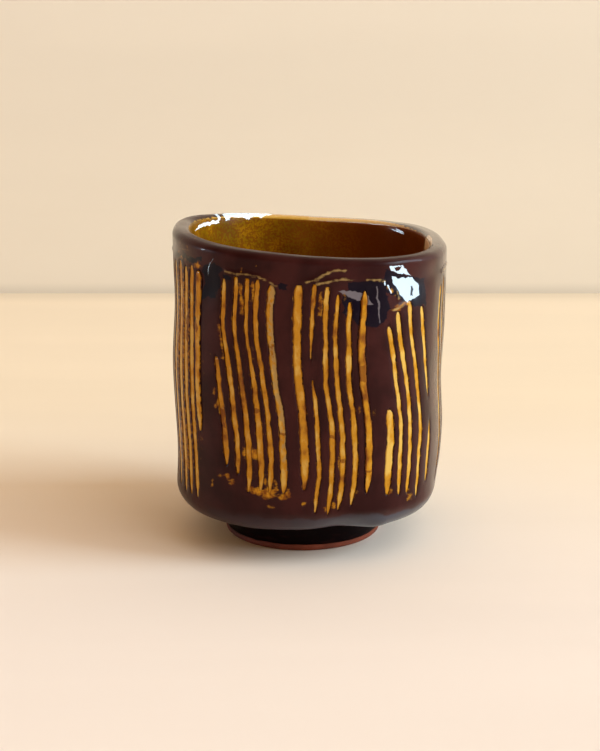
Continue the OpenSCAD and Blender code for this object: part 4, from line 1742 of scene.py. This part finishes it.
def add_room():
    """Warm light from all round, dimmer from the left and dim in reflections."""
    world = bpy.data.worlds.new("room")
    bpy.context.scene.world = world
    world.use_nodes = True
    tree = world.node_tree
    way = add_node(tree, "ShaderNodeTexCoord").outputs["Generated"]
    strength = table().fill_strength
    towards = vector_sum(tree, way, TO_ROOM_LIGHT, "DOT_PRODUCT", "Value")
    light = between(tree, towards, -0.6, 0.6, 0.3 * strength, strength)
    mirrored = add_node(tree, "ShaderNodeLightPath").outputs["Is Glossy Ray"]
    light = times(tree, light, between(tree, mirrored, 0.0, 1.0, 1.0, 0.4))
    background = tree.nodes["Background"]
    background.inputs["Color"].default_value = colour(table().fill_colour)
    tree.links.new(light, background.inputs["Strength"])


def add_camera():
    """A camera in front of the cup, looking a little down."""
    stage = table()
    data = bpy.data.cameras.new("camera")
    data.lens = stage.focal_length
    data.sensor_width = 36
    data.clip_start = 0.01
    camera = bpy.data.objects.new("camera", data)
    camera.location = (stage.camera_side, -stage.camera_distance, stage.camera_height)
    aim = Vector((stage.camera_side, 0, stage.aim_height)) - camera.location
    camera.rotation_euler = aim.to_track_quat("-Z", "Y").to_euler()
    bpy.context.scene.collection.objects.link(camera)
    bpy.context.scene.camera = camera


# Operators


class SAKECUP_OT_clay_body(bpy.types.Operator):
    """Make the pressed clay body"""

    bl_idname = "sake_cup.clay_body"
    bl_label = "Clay Body"

    def execute(self, context):
        add_piece(clay_body_mesh(), "pressed_body", ["clay_body"], clay_finish())
        return {"FINISHED"}


class SAKECUP_OT_foot(bpy.types.Operator):
    """Make the turned foot ring and the slip on its side"""

    bl_idname = "sake_cup.foot"
    bl_label = "Foot"

    def execute(self, context):
        add_piece(foot_ring_mesh(), "turned_foot", ["foot_ring"], clay_finish())
        finish = foot_slip_finish()
        add_piece(foot_slip_mesh(), "dipped_foot", ["foot_slip_band"], finish, THIN_WALL)
        return {"FINISHED"}


class SAKECUP_OT_carved_slip(bpy.types.Operator):
    """Make the dark slip with every line cut through it"""

    bl_idname = "sake_cup.carved_slip"
    bl_label = "Carved Slip"

    def execute(self, context):
        wall = carving().slip_thickness
        add_piece(carved_slip_mesh(), "carved_slip", ["dark_slip_coat"], slip_finish(), wall)
        return {"FINISHED"}


class SAKECUP_OT_line_glaze(bpy.types.Operator):
    """Make the amber glaze in the lines of each side"""

    bl_idname = "sake_cup.line_glaze"
    bl_label = "Line Glaze"

    def execute(self, context):
        finish = line_finish()
        for side, groups in SIDES.items():
            name, nodes = f"amber_lines_{side}", [f"line_glaze_{side}"]
            add_piece(line_glaze_mesh(groups), name, nodes, finish, THIN_WALL)
        return {"FINISHED"}


class SAKECUP_OT_inner_glaze(bpy.types.Operator):
    """Make the amber glaze that lines the inside"""

    bl_idname = "sake_cup.inner_glaze"
    bl_label = "Inner Glaze"

    def execute(self, context):
        finish = inner_finish()
        add_piece(inner_glaze_mesh(), "amber_lining", ["inner_glaze"], finish, LINING_WALL)
        return {"FINISHED"}


class SAKECUP_OT_table(bpy.types.Operator):
    """Make the table, the wall, the light and the camera"""

    bl_idname = "sake_cup.table"
    bl_label = "Table"

    def execute(self, context):
        add_table()
        add_wall()
        add_light()
        add_camera()
        return {"FINISHED"}


class SAKECUP_PT_panel(bpy.types.Panel):
    """Lists the pieces of the cup and its stage"""

    bl_idname = "SAKECUP_PT_panel"
    bl_label = "Sake Cup"
    bl_space_type = "VIEW_3D"
    bl_region_type = "UI"
    bl_category = "Sake Cup"

    def draw(self, context):
        for operator in OPERATORS:
            self.layout.operator(operator.bl_idname)


GROUPS_OF_SETTINGS = {
    "sake_cup_shape": CupShape,
    "sake_cup_carving": Carving,
    "sake_cup_finishes": Finishes,
    "sake_cup_table": Table,
}
OPERATORS = (
    SAKECUP_OT_clay_body,
    SAKECUP_OT_foot,
    SAKECUP_OT_carved_slip,
    SAKECUP_OT_line_glaze,
    SAKECUP_OT_inner_glaze,
    SAKECUP_OT_table,
)


def register():
    """Registers the settings, the operators and the panel."""
    for name, settings in GROUPS_OF_SETTINGS.items():
        bpy.utils.register_class(settings)
        setattr(bpy.types.Scene, name, PointerProperty(type=settings))
    for operator in OPERATORS:
        bpy.utils.register_class(operator)
    bpy.utils.register_class(SAKECUP_PT_panel)


def unregister():
    """Removes them again."""
    bpy.utils.unregister_class(SAKECUP_PT_panel)
    for operator in reversed(OPERATORS):
        bpy.utils.unregister_class(operator)
    for name, settings in GROUPS_OF_SETTINGS.items():
        delattr(bpy.types.Scene, name)
        bpy.utils.unregister_class(settings)


def main():
    """Makes the cup and its stage."""
    register()
    bpy.ops.sake_cup.clay_body()
    bpy.ops.sake_cup.foot()
    bpy.ops.sake_cup.carved_slip()
    bpy.ops.sake_cup.line_glaze()
    bpy.ops.sake_cup.inner_glaze()
    bpy.ops.sake_cup.table()


if __name__ == "__main__":
    main()
